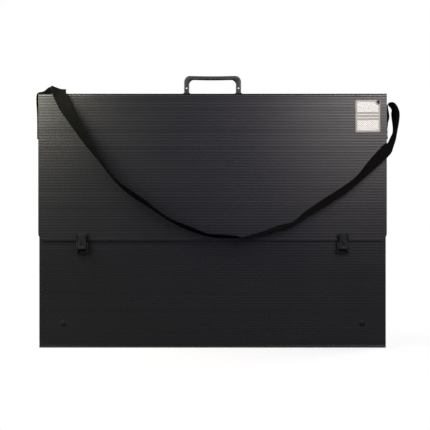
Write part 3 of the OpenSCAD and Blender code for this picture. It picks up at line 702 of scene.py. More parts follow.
def merged_copy(node, edge=0.0):
    """A clean mesh of a CAD node, its sharp edges rounded to that width."""
    flat, sharp_from = math.radians(0.8), math.radians(32)
    source = frame["nodes"][node].data
    work = bmesh.new()
    points = [work.verts.new(v.co) for v in source.vertices]
    for face in source.polygons:
        work.faces.new([points[i] for i in face.vertices])
    bmesh.ops.remove_doubles(work, verts=work.verts, dist=WELD)
    bmesh.ops.dissolve_limit(work, angle_limit=flat, verts=work.verts, edges=work.edges)
    if edge:
        sharp = [e for e in work.edges if e.is_manifold and e.calc_face_angle(0.0) > sharp_from]
        bmesh.ops.bevel(work, geom=sharp, offset=edge, offset_type="OFFSET", segments=2, profile=0.6,
                        affect="EDGES", clamp_overlap=True)
    return finished_mesh(work, bpy.data.meshes.new(node))


def joined(name, meshes):
    """One mesh of several."""
    work = bmesh.new()
    for mesh in meshes:
        work.from_mesh(mesh)
        bpy.data.meshes.remove(mesh)
    return finished_mesh(work, bpy.data.meshes.new(name))


def lay_uv(mesh, places):
    """Gives the mesh a UV map in metres, from a pair of numbers for each vertex."""
    layer = mesh.uv_layers.new(name="UVMap")
    for loop in mesh.loops:
        layer.data[loop.index].uv = places[loop.vertex_index]


def hand_in(piece, slot, *nodes):
    """The piece rides on the body of the nodes that it replaces."""
    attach(piece, frame["nodes"][nodes[0]]["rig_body"])
    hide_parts(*nodes)


# Geometry Nodes
class Growth(Graph):
    """A geometry tree whose inputs are named sizes and counts, and a material."""

    def __init__(self, name, *sizes, counts=()):
        super().__init__(bpy.data.node_groups.new(name, "GeometryNodeTree"))
        kinds = {title: "NodeSocketFloat" for title in sizes}
        kinds.update({title: "NodeSocketInt" for title in counts})
        kinds["Material"] = "NodeSocketMaterial"
        face = self.tree.interface
        face.new_socket("Geometry", in_out="INPUT", socket_type="NodeSocketGeometry")
        self.keys = {title: face.new_socket(title, in_out="INPUT", socket_type=kind).identifier
                     for title, kind in kinds.items()}
        face.new_socket("Geometry", in_out="OUTPUT", socket_type="NodeSocketGeometry")
        self.given = self.node("NodeGroupInput")

    def together(self, *geometries):
        """Several geometries as one."""
        both = self.node("GeometryNodeJoinGeometry")
        for geometry in geometries:
            self.join(geometry, both.node.inputs[0])
        return both["Geometry"]

    def finish(self, geometry):
        """Realizes the instances, sets the material and ends the tree."""
        real = self.node("GeometryNodeRealizeInstances", inputs={"Geometry": geometry})["Geometry"]
        painted = self.node("GeometryNodeSetMaterial", inputs={
            "Geometry": real, "Material": self.given["Material"]})["Geometry"]
        self.node("NodeGroupOutput", inputs={"Geometry": painted})

    def grow(self, seed, values):
        """The mesh that the tree makes of a seed object with these values; the seed is dropped."""
        modifier = seed.modifiers.new("growth", "NODES")
        modifier.node_group = self.tree
        for title, value in values.items():
            modifier[self.keys[title]] = value
        mesh = evaluated(seed)
        drop(seed)
        return mesh


def loops_object(name, loops):
    """An object of closed loops of edges, to grow something from."""
    vertices = []
    edges = []
    for loop in loops:
        start, count = len(vertices), len(loop)
        vertices += [(*point, 0)[:3] for point in loop]
        edges += [(start + i, start + (i + 1) % count) for i in range(count)]
    return linked(bpy.data.objects.new(name, drawn(name, vertices, edges, [])))


def extruded(growth, curve, depth):
    """A filled curve pushed along Z into a closed solid."""
    filled = growth.node("GeometryNodeFillCurve", {"mode": "TRIANGLES"}, {"Curve": curve})["Mesh"]
    pushed = growth.node("GeometryNodeExtrudeMesh", {"mode": "FACES"}, {
        "Mesh": filled, "Offset": (0, 0, 1), "Offset Scale": depth, "Individual": False})["Mesh"]
    back = growth.node("GeometryNodeFlipFaces", inputs={"Mesh": filled})["Mesh"]
    return growth.node("GeometryNodeMergeByDistance", inputs={
        "Geometry": growth.together(back, pushed), "Distance": WELD / 2})["Geometry"]


def board_growth():
    """Fluted board: the seed is its outline. X runs through it, Y across its flutes and Z along them."""
    g = Growth("fluted_board", "Width", "Thickness", "Length", "Skin", "Rib", "Pitch", "First", "Sag",
               "Corner", counts=("Count",))
    width, thickness, pitch, first, count, corner = (
        g.given[key] for key in ("Width", "Thickness", "Pitch", "First", "Count", "Corner"))
    # The skins sink a little between the ribs
    x, y, _ = g.axes(g.node("GeometryNodeInputPosition")["Position"])
    turn = (y - first) / pitch
    inside = (turn > 0.0) * (turn < count)
    side = (x - thickness / 2).math("SIGN")
    on_skin = abs(x - thickness / 2) > thickness * 0.49
    sunk = g.node("GeometryNodeSetPosition", inputs={
        "Geometry": g.given["Geometry"], "Selection": inside * on_skin,
        "Offset": g.vector(-1 * side * turn.wave() * g.given["Sag"])})["Geometry"]
    outline = g.node("GeometryNodeMeshToCurve", inputs={"Mesh": sunk})["Curve"]
    # The flutes are holes in the section
    flute = g.node("GeometryNodeCurvePrimitiveQuadrilateral", inputs={
        "Width": thickness - g.given["Skin"] * 2, "Height": pitch - g.given["Rib"]})["Curve"]
    places = g.node("GeometryNodeMeshLine", {"mode": "OFFSET"}, {
        "Count": count, "Start Location": g.vector(thickness / 2, first + pitch / 2),
        "Offset": g.vector(0.0, pitch)})["Mesh"]
    flutes = g.node("GeometryNodeInstanceOnPoints", inputs={"Points": places, "Instance": flute})["Instances"]
    flutes = g.node("GeometryNodeRealizeInstances", inputs={"Geometry": flutes})["Geometry"]
    solid = extruded(g, g.together(flutes, outline), width)
    # Rounded corners at the far end: the section is narrowed there
    x, y, z = g.axes(g.node("GeometryNodeInputPosition")["Position"])
    into = (corner - (g.given["Length"] - y)).math("MAXIMUM", 0.0)
    half = width / 2 - corner + (corner * corner - into * into).math("MAXIMUM", 0.0).math("SQRT")
    rounded = g.node("GeometryNodeSetPosition", inputs={
        "Geometry": solid, "Position": g.vector(x, y, (z - width / 2) * half / (width / 2))})["Geometry"]
    g.finish(rounded)
    return g


def plate_growth():
    """A flat plate with holes: the seed is its loops."""
    g = Growth("plate", "Depth")
    curve = g.node("GeometryNodeMeshToCurve", inputs={"Mesh": g.given["Geometry"]})["Curve"]
    g.finish(extruded(g, curve, g.given["Depth"]))
    return g


def stitch_growth():
    """Stitches along lines: the seed is the lines."""
    g = Growth("stitches", "Spacing", "Length", "Radius")
    curve = g.node("GeometryNodeMeshToCurve", inputs={"Mesh": g.given["Geometry"]})["Curve"]
    points = g.node("GeometryNodeCurveToPoints", {"mode": "LENGTH"}, {
        "Curve": curve, "Length": g.given["Spacing"]})
    ball = g.node("GeometryNodeMeshUVSphere", inputs={"Segments": 8, "Rings": 6, "Radius": 1.0})["Mesh"]
    stretched = g.vector(g.given["Radius"], g.given["Radius"], g.given["Length"] / 2)
    stitches = g.node("GeometryNodeInstanceOnPoints", inputs={
        "Points": points["Points"], "Instance": ball, "Rotation": points["Rotation"],
        "Scale": stretched})["Instances"]
    g.finish(stitches)
    return g


# Boards
# How deep the outer skin lies beside a crease, at distances from its lip, in millimetres: the score
# rolls the skin in towards the bead and leaves a pressed line
PRESSED_LINE = [(0.3, 0), (0.08, 0.8), (0, 1.8), (0, 2.8), (0.08, 3.3), (0.4, 3.7), (0.4, 4.1), (0.06, 4.5)]
# Past this distance from the lip, in millimetres, the skin is plain again
PLAIN_SKIN = 4.8
# The last skin points before a free edge lie this far from it, in millimetres
EDGE_POINTS = (3.0, 2.3, 1.7, 1.2, 0.8, 0.5)


def board_outline(s, length, low_seat, high_seat):
    """Points round a board's section: through it and from crease to crease, with its rolling seats."""
    bead = s.thickness / 2
    seat_r = bead + s.seat
    lip_turn = math.degrees(math.asin(s.lip / seat_r))
    arc_steps = 6
    chamfer = 0.3 * MM

    def seat(end, way):
        turns = [90 - (90 - lip_turn) * i / arc_steps for i in range(arc_steps + 1)]
        arc = [(bead + seat_r * math.cos(math.radians(a)), end + way * seat_r * math.sin(math.radians(a)))
               for a in turns]
        roll = [(s.thickness - sunk * MM, end + way * (s.lip + v * MM)) for sunk, v in PRESSED_LINE]
        return [(0, end + way * seat_r)] + arc + roll

    def square(end, way):
        return [(0, end + way * chamfer), (chamfer, end), (s.thickness - chamfer, end),
                (s.thickness, end + way * chamfer)]

    count = math.floor((length - 2 * s.margin) / s.pitch)
    first = (length - count * s.pitch) / 2
    waves = [first + s.pitch * i / s.steps for i in range(count * s.steps + 1)]
    if not high_seat:
        waves = waves + [length - v * MM for v in EDGE_POINTS]
    bottom = seat(0, 1) if low_seat else square(0, 1)
    top = seat(length, -1) if high_seat else square(length, -1)
    pressed = s.lip + PLAIN_SKIN * MM
    outer = [(s.thickness, v) for v in waves
             if (v > pressed or not low_seat) and (v < length - pressed or not high_seat)]
    inner = [(0, v) for v in reversed(waves)]
    return bottom + outer + list(reversed(top)) + inner, count, first


def board_mesh(growth, s, start, along, outward, across, length, width, seats, corner, material):
    """One board's mesh in place. Start is the middle of the board's thickness and width at its low end."""
    outline, count, first = board_outline(s, length, *seats)
    mesh = growth.grow(loops_object("outline", [outline]), {
        "Width": width, "Thickness": s.thickness, "Length": length, "Skin": s.skin, "Rib": s.rib,
        "Pitch": s.pitch, "First": first, "Count": count, "Sag": s.sag, "Corner": corner,
        "Material": material})
    lay_uv(mesh, [(v.co.z, v.co.y - first) for v in mesh.vertices])
    origin = start - outward * s.thickness / 2
    turn = Matrix((outward, along, across)).transposed().to_4x4()
    mesh.transform(Matrix.Translation(origin) @ turn)
    if turn.determinant() < 0:
        mesh.flip_normals()
    return mesh


class PORTFOLIO_OT_boards(Operator):
    """Make the fluted boards of the body, the top panel and the flap"""
    bl_idname = "portfolio.boards"
    bl_label = "Boards"

    def execute(self, context):
        s = context.scene.portfolio_board
        material = board_finish("fluted_board", s, banding=0.07)
        flap_material = board_finish("fluted_flap", s, banding=0.32, pressed=0.7)
        growth = board_growth()
        back_top, front_top = middle("back_crease"), middle("front_crease")
        back_low, front_low = middle("bottom_back_crease"), middle("bottom_front_crease")
        body_w, lid_w = size("back_panel").x, size("flap").x
        # Each board's start, directions along, outwards and across, length, width, seats and corner
        panels = {
            "back_panel": (back_low, Z, Y, X, back_top.z - back_low.z, body_w, (True, True), 0),
            "bottom_panel": (front_low, Y, -Z, X, back_low.y - front_low.y, body_w, (True, True), 0),
            "front_panel": (front_low, Z, -Y, X, high("front_panel").z - front_low.z, body_w,
                            (True, False), s.front_corner),
            "top_panel": (front_top, Y, Z, X, back_top.y - front_top.y, lid_w, (True, True), 0),
            "flap": (front_top, -Z, -Y, X, front_top.z - low("flap").z, lid_w, (True, False),
                     s.flap_corner),
        }
        for name, facts in panels.items():
            skin = flap_material if name == "flap" else material
            mesh = board_mesh(growth, s, *facts, skin)
            hand_in(dress(mesh, name + "_board", skin, angle=30), "fluted_board", name)
        for side_name, side in SIDES.items():
            name = side_name + "_side_wall"
            lowest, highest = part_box(name)
            outer_x = side * HALF_W
            free_x = lowest.x if side > 0 else highest.x
            wall_x = outer_x - side * s.thickness
            wall = board_mesh(
                growth, s, Vector((outer_x - side * s.thickness / 2, middle(name).y, lowest.z)), Z, side * X,
                Y, size(name).z, size(name).y, (False, False), 0, material)
            tab_top = high("front_panel").z - s.tab_drop
            tab = board_mesh(
                growth, s, Vector(((wall_x + free_x) / 2, lowest.y + s.thickness / 2, lowest.z)), Z, -Y, X,
                tab_top - lowest.z, abs(wall_x - free_x), (False, False), 0, material)
            both = joined(name, [wall, tab])
            hand_in(dress(both, name + "_board", material, angle=30), "fluted_board", name)
        return {"FINISHED"}


class PORTFOLIO_OT_creases(Operator):
    """Make the rolled beads of outer skin along the creases"""
    bl_idname = "portfolio.creases"
    bl_label = "Creases"

    def execute(self, context):
        worked = board_finish("rolled_crease", context.scene.portfolio_board, banding=0.0, gloss=0.06)
        for name in ("back_crease", "front_crease", "bottom_back_crease", "bottom_front_crease"):
            mesh = merged_copy(name)
            material = bpy.data.materials["fluted_board"] if "bottom" in name else worked
            lay_uv(mesh, [(v.co.x, v.co.y + v.co.z) for v in mesh.vertices])
            hand_in(dress(mesh, name + "_bead", material), "fluted_board", name)
        return {"FINISHED"}


class PORTFOLIO_OT_hardware(Operator):
    """Make the clips, rivets, washers, plates and collars"""
    bl_idname = "portfolio.hardware"
    bl_label = "Clips and rivets"

    def execute(self, context):
        s = context.scene.portfolio_hardware
        moulded = moulded_finish("moulded_black", s.colour, rough=0.56, grain_height=0.03 * MM,
                                 gloss=0.17, shaded=painted_hinge_shade)
        sharp_edged = ("clip_base", "clip_lever", "keeper", "base_plate", "keeper_plate")
        turned = ("clip_pin", "corner_rivet", "corner_washer", "strap_rivet", "strap_washer")
        edges = {}
        for side_name in SIDES:
            edges.update({f"{side_name}_{part}": s.edge for part in sharp_edged})
            edges.update({f"{side_name}_{part}": s.edge / 2 for part in turned})
        for name, edge in {**edges, "handle_collars": s.edge, "handle_plate": s.edge}.items():
            mesh = merged_copy(name, edge)
            if name.endswith("_keeper"):
                mesh = joined(name, [mesh, self.thumb_ramp(s, name.removesuffix("_keeper"))])
            hand_in(dress(mesh, name + "_part", moulded, angle=40), "moulded_black", name)
        return {"FINISHED"}

    def thumb_ramp(self, s, side_name):
        """A slope behind a keeper's bar that leads a thumb up under the lever's tip."""
        lever = side_name + "_clip_lever"
        base_z = low(side_name + "_keeper").z
        plate_y = low("front_panel").y - s.plate
        bar_depth, inside = 3.2 * MM, 0.4 * MM
        bar_y = plate_y - bar_depth
        section = [(bar_y, base_z + s.bar - inside), (plate_y + inside, base_z + s.bar - inside),
                   (plate_y + inside, base_z + s.sill), (plate_y, base_z + s.sill), (bar_y, base_z + s.brow)]
        mesh = lofted("thumb_ramp", [[(x, y, z) for y, z in section] for x in (low(lever).x, high(lever).x)])
        tidy(mesh)
        return mesh


# Handle
def handle_rings(s, low_z):
    """Rounded sections along the U, from one leg's foot over the grip to the other."""
    half, top = s.width / 2, high("handle").z
    inner_half = half - s.leg
    outer_x, outer_z = half - s.outer, top - s.outer
    inner_x, inner_z = inner_half - s.inner, top - s.grip - s.inner
    corner_steps, bar_steps, leg_steps, points = 18, 16, 4, 32
    squareness, inner_sag = 0.45, 0.9

    def sag(k):
        return s.sag * (1 - k ** 2)

    def bulge(part):
        return math.copysign(abs(part) ** squareness, part)

    pairs = []
    for i in range(leg_steps):
        z = low_z + (outer_z - low_z) * i / leg_steps
        pairs.append(((half, z), (inner_half, z + (inner_z - outer_z) * i / leg_steps), 0))
    for i in range(corner_steps + 1):
        a = math.pi / 2 * i / corner_steps
        pairs.append(((outer_x + s.outer * math.cos(a), outer_z + s.outer * math.sin(a)),
                      (inner_x + s.inner * math.cos(a), inner_z + s.inner * math.sin(a)),
                      (1 - math.cos(2 * a)) / 2))
    for i in range(1, bar_steps + 1):
        k = 1 - i / bar_steps
        pairs.append(((outer_x * k, top - sag(k)), (inner_x * k, top - s.grip - inner_sag * sag(k)), 1))
    pairs += [((-a[0], a[1]), (-b[0], b[1]), w) for a, b, w in reversed(pairs[:-1])]
    rings = []
    for outer, inner, widened in pairs:
        centre = [(outer[i] + inner[i]) / 2 for i in (0, 1)]
        reach = [(outer[i] - inner[i]) / 2 for i in (0, 1)]
        deep = (s.leg_depth + (s.grip_depth - s.leg_depth) * widened) / 2
        ring = []
        for k in range(points):
            a = 2 * math.pi * k / points
            u, v = bulge(math.cos(a)), bulge(math.sin(a))
            ring.append((centre[0] + reach[0] * u, v * deep, centre[1] + reach[1] * u))
        rings.append(ring)
    return rings


def cutter(name, work):
    """The object of a helper shape, to cut with."""
    mesh = finished_mesh(work, bpy.data.meshes.new(name))
    return dress(mesh, name, bpy.data.materials["moulded_handle"])


def slit_cutter(lowest, highest):
    """A box between two corners."""
    work = bmesh.new()
    bmesh.ops.create_cube(work, size=1.0)
    for vert in work.verts:
        vert.co = [lowest[i] + (highest[i] - lowest[i]) * (vert.co[i] + 0.5) for i in range(3)]
    return cutter("slit", work)


def hole_cutter(centre, radius, half_length):
    """A cylinder along Y."""
    work = bmesh.new()
    bmesh.ops.create_cone(work, cap_ends=True, segments=40, radius1=radius, radius2=radius,
                          depth=2 * half_length)
    rod = cutter("hole", work)
    rod.data.transform(Matrix.Translation(centre) @ Matrix.Rotation(math.pi / 2, 4, "X"))
    return rod


def barbed_end(s, centre_x, top, low_z):
    """A leg's barbed end below the plate."""
    half = s.leg / 2
    out = half + s.barb
    tip, edge, ease = 1.5 * MM, 0.7 * MM, 1 * MM
    right = [(half - tip, low_z), (out, top - edge - s.barb), (out, top - edge), (out - edge, top),
             (half - ease, top), (half - ease, top + s.barb)]
    outline = right + [(-x, z) for x, z in reversed(right)]
    deep = (s.leg_depth - ease) / 2
    mesh = lofted("leg_end", [[(centre_x + x, y, z) for x, z in outline] for y in (deep, -deep)])
    return dress(mesh, "leg_end", bpy.data.materials["moulded_handle"])


class PORTFOLIO_OT_handle(Operator):
    """Make the push-down handle with its forked legs"""
    bl_idname = "portfolio.handle"
    bl_label = "Handle"

    def execute(self, context):
        s = context.scene.portfolio_handle
        material = moulded_finish("moulded_handle", s.colour, rough=0.46, grain_height=0.05 * MM,
                                  gloss=0.5, shaded=unlit)
        low_z = low("handle").z
        barb_top = low_z + s.barb_length
        piece = dress(lofted("push_handle", handle_rings(s, barb_top)), "push_handle", material)
        tidy(piece.data)
        leg_x = (s.width - s.leg) / 2
        hole_z = CASE_TOP_Z + s.hole_up
        for side in SIDES.values():
            end = barbed_end(s, side * leg_x, barb_top, low_z)
            tidy(end.data)
            cut(piece, end, "UNION")
        for side in SIDES.values():
            x = side * leg_x
            slit = slit_cutter((x - s.slit / 2, -s.leg_depth, low_z - s.leg),
                               (x + s.slit / 2, s.leg_depth, hole_z))
            slit.data.transform(Matrix.Translation((x, 0, 0)) @ Matrix.Rotation(side * s.skew, 4, "Z")
                                @ Matrix.Translation((-x, 0, 0)))
            cut(piece, slit, "DIFFERENCE")
            cut(piece, hole_cutter(Vector((x, 0, hole_z)), s.hole, s.leg_depth), "DIFFERENCE")
        tidy(piece.data)
        finished = dress(piece.data.copy(), "push_handle_part", material, angle=38)
        drop(piece)
        hand_in(finished, "moulded_handle", "handle")
        return {"FINISHED"}


# Strap. Its stations, in millimetres from the case's nearer upper corner or from the middle. They are
# those of the solids, but over the left corner and down the flap's left it lies a little lower or flatter.
# Over the left corner: out, depth (None is the hems' depth), up, and the direction across the webbing
CORNER_STATIONS = [
    (-5.6, None, -55, 0, 1, 0), (-7.2, None, -25, 0, 1, 0), (-7.4, None, -11, 0, 1, 0),
    (-6, None, -1.3, 0, 1, 0), (-1.6, None, 2.6, 0, 1, -0.03), (13, 2.2, 4.2, 0, 0.99, -0.12),
    (29, 0.5, 10, 0.22, 0.92, -0.32), (42, -4.5, 14, 0.57, 0.79, -0.27),
    (48.6, -11.5, 14.6, 0.83, 0.49, -0.33), (51.4, -19.5, 14.2, 0.95, 0.12, -0.34),
    (53, -24.8, 10.8, 0.97, 0.02, -0.28), (54.8, -27.3, 4.6, 0.98, 0, -0.14)]
# Down the flap: out, up, and the webbing's turn in degrees, 0 flat on the flap and 90 on edge
LEFT_STATIONS = [
    (57, -4, 14), (67.5, -28, 22), (84.5, -58, 38), (112.5, -101, 48), (140, -143, 63), (161, -174, 76),
    (205, -231, 78), (251, -269, 70), (286, -292, 72), (315, -314, 78)]
MIDDLE_STATIONS = [
    (-108, -340, 78), (-65, -359, 72), (-12, -378, 77), (25, -381, 75), (62, -383, 80),
    (76, -385, 88), (97, -381, 95), (137, -371, 99)]
RIGHT_STATIONS = [
    (-279, -355, 103), (-252, -348, 99), (-231, -334, 103), (-209, -318, 110), (-164, -289, 115),
    (-113, -257, 116), (-73, -225, 113), (-38, -189, 130), (-12, -163, 140)]
# Round the right edge in a loop and back to the side wall: out, depth, up and turn
LOOP_STATIONS = [
    (1, -37.5, -148, 136), (9.5, -40.5, -135, 112), (17, -34, -117, 103), (23, -29, -100, 98),
    (26, -22, -81, 105), (26.5, -13, -57, 115), (22.8, -5, -38, 110), (16.6, 0.5, -30, 102),
    (10, None, -27.5, 94), (5.6, None, -30, 90), (6, None, -40, 90), (9.2, None, -61, 90),
    (6, None, -76, 90)]
# The strap is one webbing made in five pieces: the first two and the last two part at these stations
CORNER_CUT = 6
LOOP_CUT = 9
# How far below its top a hem's outer ply starts to leave the wall
HEM_PINCH = 4 * MM


class Route:
    """The strap's middle line and the direction across it, station by station."""

    def __init__(self, s):
        self.s = s
        self.ply = s.thickness + s.slack
        self.inner_x = HEM_X + s.thickness / 2
        self.outer_x = self.inner_x + 2 * self.ply
        self.hem_low = low("strap_left").z
        self.hem_top = self.hem_low + s.hem

        def hem_end(side, z):
            return Vector((side * self.outer_x, STRAP_Y, z))

        def beside(middle_x, stations):
            return [Vector((middle_x + a[0] * MM, STRAP_Y if a[1] is None else a[1] * MM,
                            CASE_TOP_Z + a[2] * MM)) for a in stations]

        def on_front(middle_x, stations):
            found = []
            for out, up, turn in stations:
                stand = s.gap + (s.thickness + s.width * math.sin(math.radians(turn))) / 2
                found.append(Vector((middle_x + out * MM, FLAP_FACE_Y - stand, CASE_TOP_Z + up * MM)))
            return found

        pinch_z = self.hem_top - HEM_PINCH
        left_hem = [hem_end(-1, self.hem_low), hem_end(-1, pinch_z)]
        right_hem = [hem_end(1, pinch_z), hem_end(1, self.hem_low)]
        self.places = (left_hem + beside(-HALF_W, CORNER_STATIONS) + on_front(-HALF_W, LEFT_STATIONS)
                       + on_front(0, MIDDLE_STATIONS) + on_front(HALF_W, RIGHT_STATIONS)
                       + beside(HALF_W, LOOP_STATIONS) + right_hem)
        self.last = len(self.places) - 1
        turned = LEFT_STATIONS + MIDDLE_STATIONS + RIGHT_STATIONS + LOOP_STATIONS
        turns = [a[-1] for a in turned] + [90] * len(right_hem)
        self.across = [Y] * len(left_hem) + [Vector(a[3:]) for a in CORNER_STATIONS]
        first_turn = len(self.across)
        for i, turn in enumerate(turns, first_turn):
            d = self.places[min(i + 1, self.last)] - self.places[i - 1]
            flat = math.hypot(d.x, d.z)
            t = math.radians(turn)
            self.across.append(Vector((-d.z / flat * math.cos(t), -math.sin(t), d.x / flat * math.cos(t))))
        self.corner = len(left_hem) + CORNER_CUT
        self.left_end = first_turn + 1
        self.right_end = first_turn + len(turned) - len(LOOP_STATIONS) - 1
        self.loop_top = self.right_end + LOOP_CUT

    def on_line(self, points, i, t):
        """A smooth curve through points, at the share t of the way from point i to the next."""
        a, b = points[max(i - 1, 0)], points[i]
        c, d = points[i + 1], points[min(i + 2, self.last)]
        return b + 0.5 * t * (c - a + t * (2 * a - 5 * b + 4 * c - d + t * (3 * (b - c) + d - a)))

    def stretch(self, start, end):
        """Pairs of place and across from one station to another."""
        found = []
        for i in range(start, end):
            steps = max(2, math.ceil((self.places[i + 1] - self.places[i]).length / self.s.ring))
            found += [(self.on_line(self.places, i, k / steps), self.on_line(self.across, i, k / steps))
                      for k in range(steps)]
        return found + [(self.places[end], self.across[end])]

    def fold(self, side):
        """The two plies rolled in behind a hem, from the raw end to the start of the outer ply."""
        thickness = self.s.thickness
        centre = (self.inner_x + self.outer_x) / 2
        small, large = self.ply / 2, self.ply
        top_z = self.hem_top - thickness / 2 - small
        low_z = self.hem_low + thickness / 2 + large
        steps = 8
        turns = [math.pi * k / steps for k in range(steps + 1)]
        line = [(centre, low_z + (top_z - low_z) * k / steps) for k in range(steps)]
        line += [(centre - small + small * math.cos(a), top_z + small * math.sin(a)) for a in turns]
        line += [(centre - large * math.cos(a), low_z - large * math.sin(a)) for a in turns]
        return [(Vector((side * x, STRAP_Y, z)), Y) for x, z in line]


# Half of the webbing's section, from one selvedge to the other: across it and through it
SELVEDGE = [(-1, 0), (-0.99, 0.6), (-0.965, 0.95), (-0.92, 1), (-0.6, 0.94), (-0.2, 0.92), (0.2, 0.92),
            (0.6, 0.94), (0.92, 1), (0.965, 0.95), (0.99, 0.6), (1, 0)]


def webbing_mesh(s, name, line):
    """A ribbon along pairs of place and across, with its UV map in metres. Gives the mesh and its length."""
    section = SELVEDGE + [(x, -y) for x, y in reversed(SELVEDGE[1:-1])]
    rings, lengths, run = [], [], 0.0
    for i, (place, across) in enumerate(line):
        before, after = line[max(i - 1, 0)][0], line[min(i + 1, len(line) - 1)][0]
        along = (after - before).normalized()
        w = (across - along * across.dot(along)).normalized()
        n = along.cross(w)
        if i:
            run += (place - line[i - 1][0]).length
        lengths.append(run)
        rings.append([place + w * (u * s.width / 2) + n * (v * s.thickness / 2) for u, v in section])
    mesh = lofted(name, rings)
    lay_uv(mesh, [(u * s.width / 2, length) for length in lengths for u, _ in section])
    return mesh, run


class PORTFOLIO_OT_strap(Operator):
    """Make the webbing strap with its hems and stitching"""
    bl_idname = "portfolio.strap"
    bl_label = "Strap"

    def execute(self, context):
        s = context.scene.portfolio_strap
        material = webbing_finish(s)
        thread = thread_finish("hem_thread", s.thread)
        route = Route(s)
        stitches = {name: self.stitches(s, route, name, side, thread) for name, side in SIDES.items()}

        def piece(name, line, nodes, with_pieces=()):
            mesh, length = webbing_mesh(s, name, line)
            made = dress(mesh, name, material, angle=50)
            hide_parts(*nodes)
            return made

        left = route.fold(-1) + route.stretch(1, route.corner)
        up = piece("strap_up_left", left, ["strap_left"], [stitches["left"]])
        over = piece("strap_over_corner", route.stretch(route.corner, route.left_end), ["strap_left"])
        front = piece("strap_bow", route.stretch(route.left_end, route.right_end), ["strap_front"])
        loop = piece("strap_loop", route.stretch(route.right_end, route.loop_top), ["strap_right"])
        right = route.stretch(route.loop_top, route.last - 1) + list(reversed(route.fold(1)))
        down = piece("strap_down_right", right, ["strap_right"], [stitches["right"]])
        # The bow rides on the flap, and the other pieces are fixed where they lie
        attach(front, "flap")
        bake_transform(up)
        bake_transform(over)
        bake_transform(loop)
        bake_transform(down)
        return {"FINISHED"}

    def stitches(self, s, route, name, side, material):
        """A box of stitches round a hem, just proud of the outer ply."""
        seam, thread_r, stitched = 4 * MM, 0.42 * MM, 0.82
        x = side * (route.outer_x + s.thickness / 2)
        half_y = s.width / 2 - seam
        corners = [(x, STRAP_Y + way * half_y, z) for way, z in (
            (-1, route.hem_low + seam), (1, route.hem_low + seam),
            (1, route.hem_top - seam), (-1, route.hem_top - seam))]
        mesh = stitch_growth().grow(loops_object("stitch_line", [corners]), {
            "Spacing": s.stitch, "Length": s.stitch * stitched, "Radius": thread_r, "Material": material})
        made = dress(mesh, name + "_hem_stitches", material)
        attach(made, "root")
        return made


# Tag
def rounded_loop(width, height, radius, steps=8):
    """A rounded rectangle with its lower left corner at the origin."""
    loop = []
    for corner, (cx, cy) in enumerate([(width - radius, height - radius), (radius, height - radius),
                                       (radius, radius), (width - radius, radius)]):
        for k in range(steps + 1):
            a = math.pi / 2 * (corner + k / steps)
            loop.append((cx + radius * math.cos(a), cy + radius * math.sin(a)))
    return loop


def ring_loop(cx, cy, radius, count=24):
    """A circle."""
    turns = [2 * math.pi * k / count for k in range(count)]
    return [(cx + radius * math.cos(a), cy + radius * math.sin(a)) for a in turns]


def cord_mesh(name, places, radius, sides=10):
    """A round cord along places."""
    turns = [2 * math.pi * k / sides for k in range(sides)]
    rings = []
    normal = Y
    for i, place in enumerate(places):
        before, after = places[max(i - 1, 0)], places[min(i + 1, len(places) - 1)]
        along = (after - before).normalized()
        normal = (normal - along * normal.dot(along)).normalized()
        side = along.cross(normal)
        rings.append([place + (normal * math.cos(a) + side * math.sin(a)) * radius for a in turns])
    return lofted(name, rings)


class PORTFOLIO_OT_tag(Operator):
    """Make the hang tag and its knotted tie"""
    bl_idname = "portfolio.tag"
    bl_label = "Tag"

    def execute(self, context):
        s = context.scene.portfolio_tag
        extent = size("tag")
        card = tag_finish(s, extent.x, extent.z)
        hole_r = 1.1 * MM
        hole = (extent.x - s.hole_in, extent.z - s.hole_in)
        loops = [rounded_loop(extent.x, extent.z, s.corner), ring_loop(*hole, hole_r)]
        mesh = plate_growth().grow(loops_object("tag", loops), {"Depth": extent.y, "Material": card})
        lay_uv(mesh, [(v.co.x, v.co.y) for v in mesh.vertices])
        corner = low("tag")
        pivot = Vector((corner.x + hole[0], 0, corner.z + hole[1]))
        stand = Matrix.Translation((corner.x, high("tag").y, corner.z)) @ Matrix.Rotation(math.pi / 2, 4, "X")
        lean = Matrix.Translation(pivot) @ Matrix.Rotation(-s.tilt, 4, "Y") @ Matrix.Translation(-pivot)
        mesh.transform(lean @ stand)
        hand_in(dress(mesh, "hang_tag", card), "tag_card", "tag")
        self.tie(s, pivot)
        return {"FINISHED"}

    def tie(self, s, pivot):
        """An overhand knot in front of the card, with the cord's shank through the board."""
        cord_r, shank_r, bar_r, bar_half = 1.45 * MM, 1 * MM, 0.8 * MM, 2.6 * MM
        wide, deep, tall = 0.85, 0.95, 1.35
        turns = 60
        cord = thread_finish("tie_cord", s.cord)
        face, back = low("tag").y, high("tag_tie").y
        lean = Matrix.Rotation(math.radians(-25), 4, "Y")
        centre = Vector((0, face - 2 * cord_r, 0))
        places = []
        for k in range(turns + 1):
            a = 2 * math.pi * k / turns
            knot_place = Vector(((math.sin(a) + 2 * math.sin(2 * a)) * wide, -math.sin(3 * a) * deep,
                                 (math.cos(a) - 2 * math.cos(2 * a)) * tall))
            places.append(pivot + lean @ knot_place * MM + centre)
        bar_y = back - bar_r
        parts = [cord_mesh("knot", places, cord_r),
                 cord_mesh("shank", [pivot + Y * (face - 2 * MM), pivot + Y * back], shank_r),
                 cord_mesh("bar", [pivot + Vector((x, bar_y, 0)) for x in (-bar_half, bar_half)], bar_r)]
        hand_in(dress(joined("tie", parts), "tag_tie_cord", cord, angle=60), "tie_cord", "tag_tie")


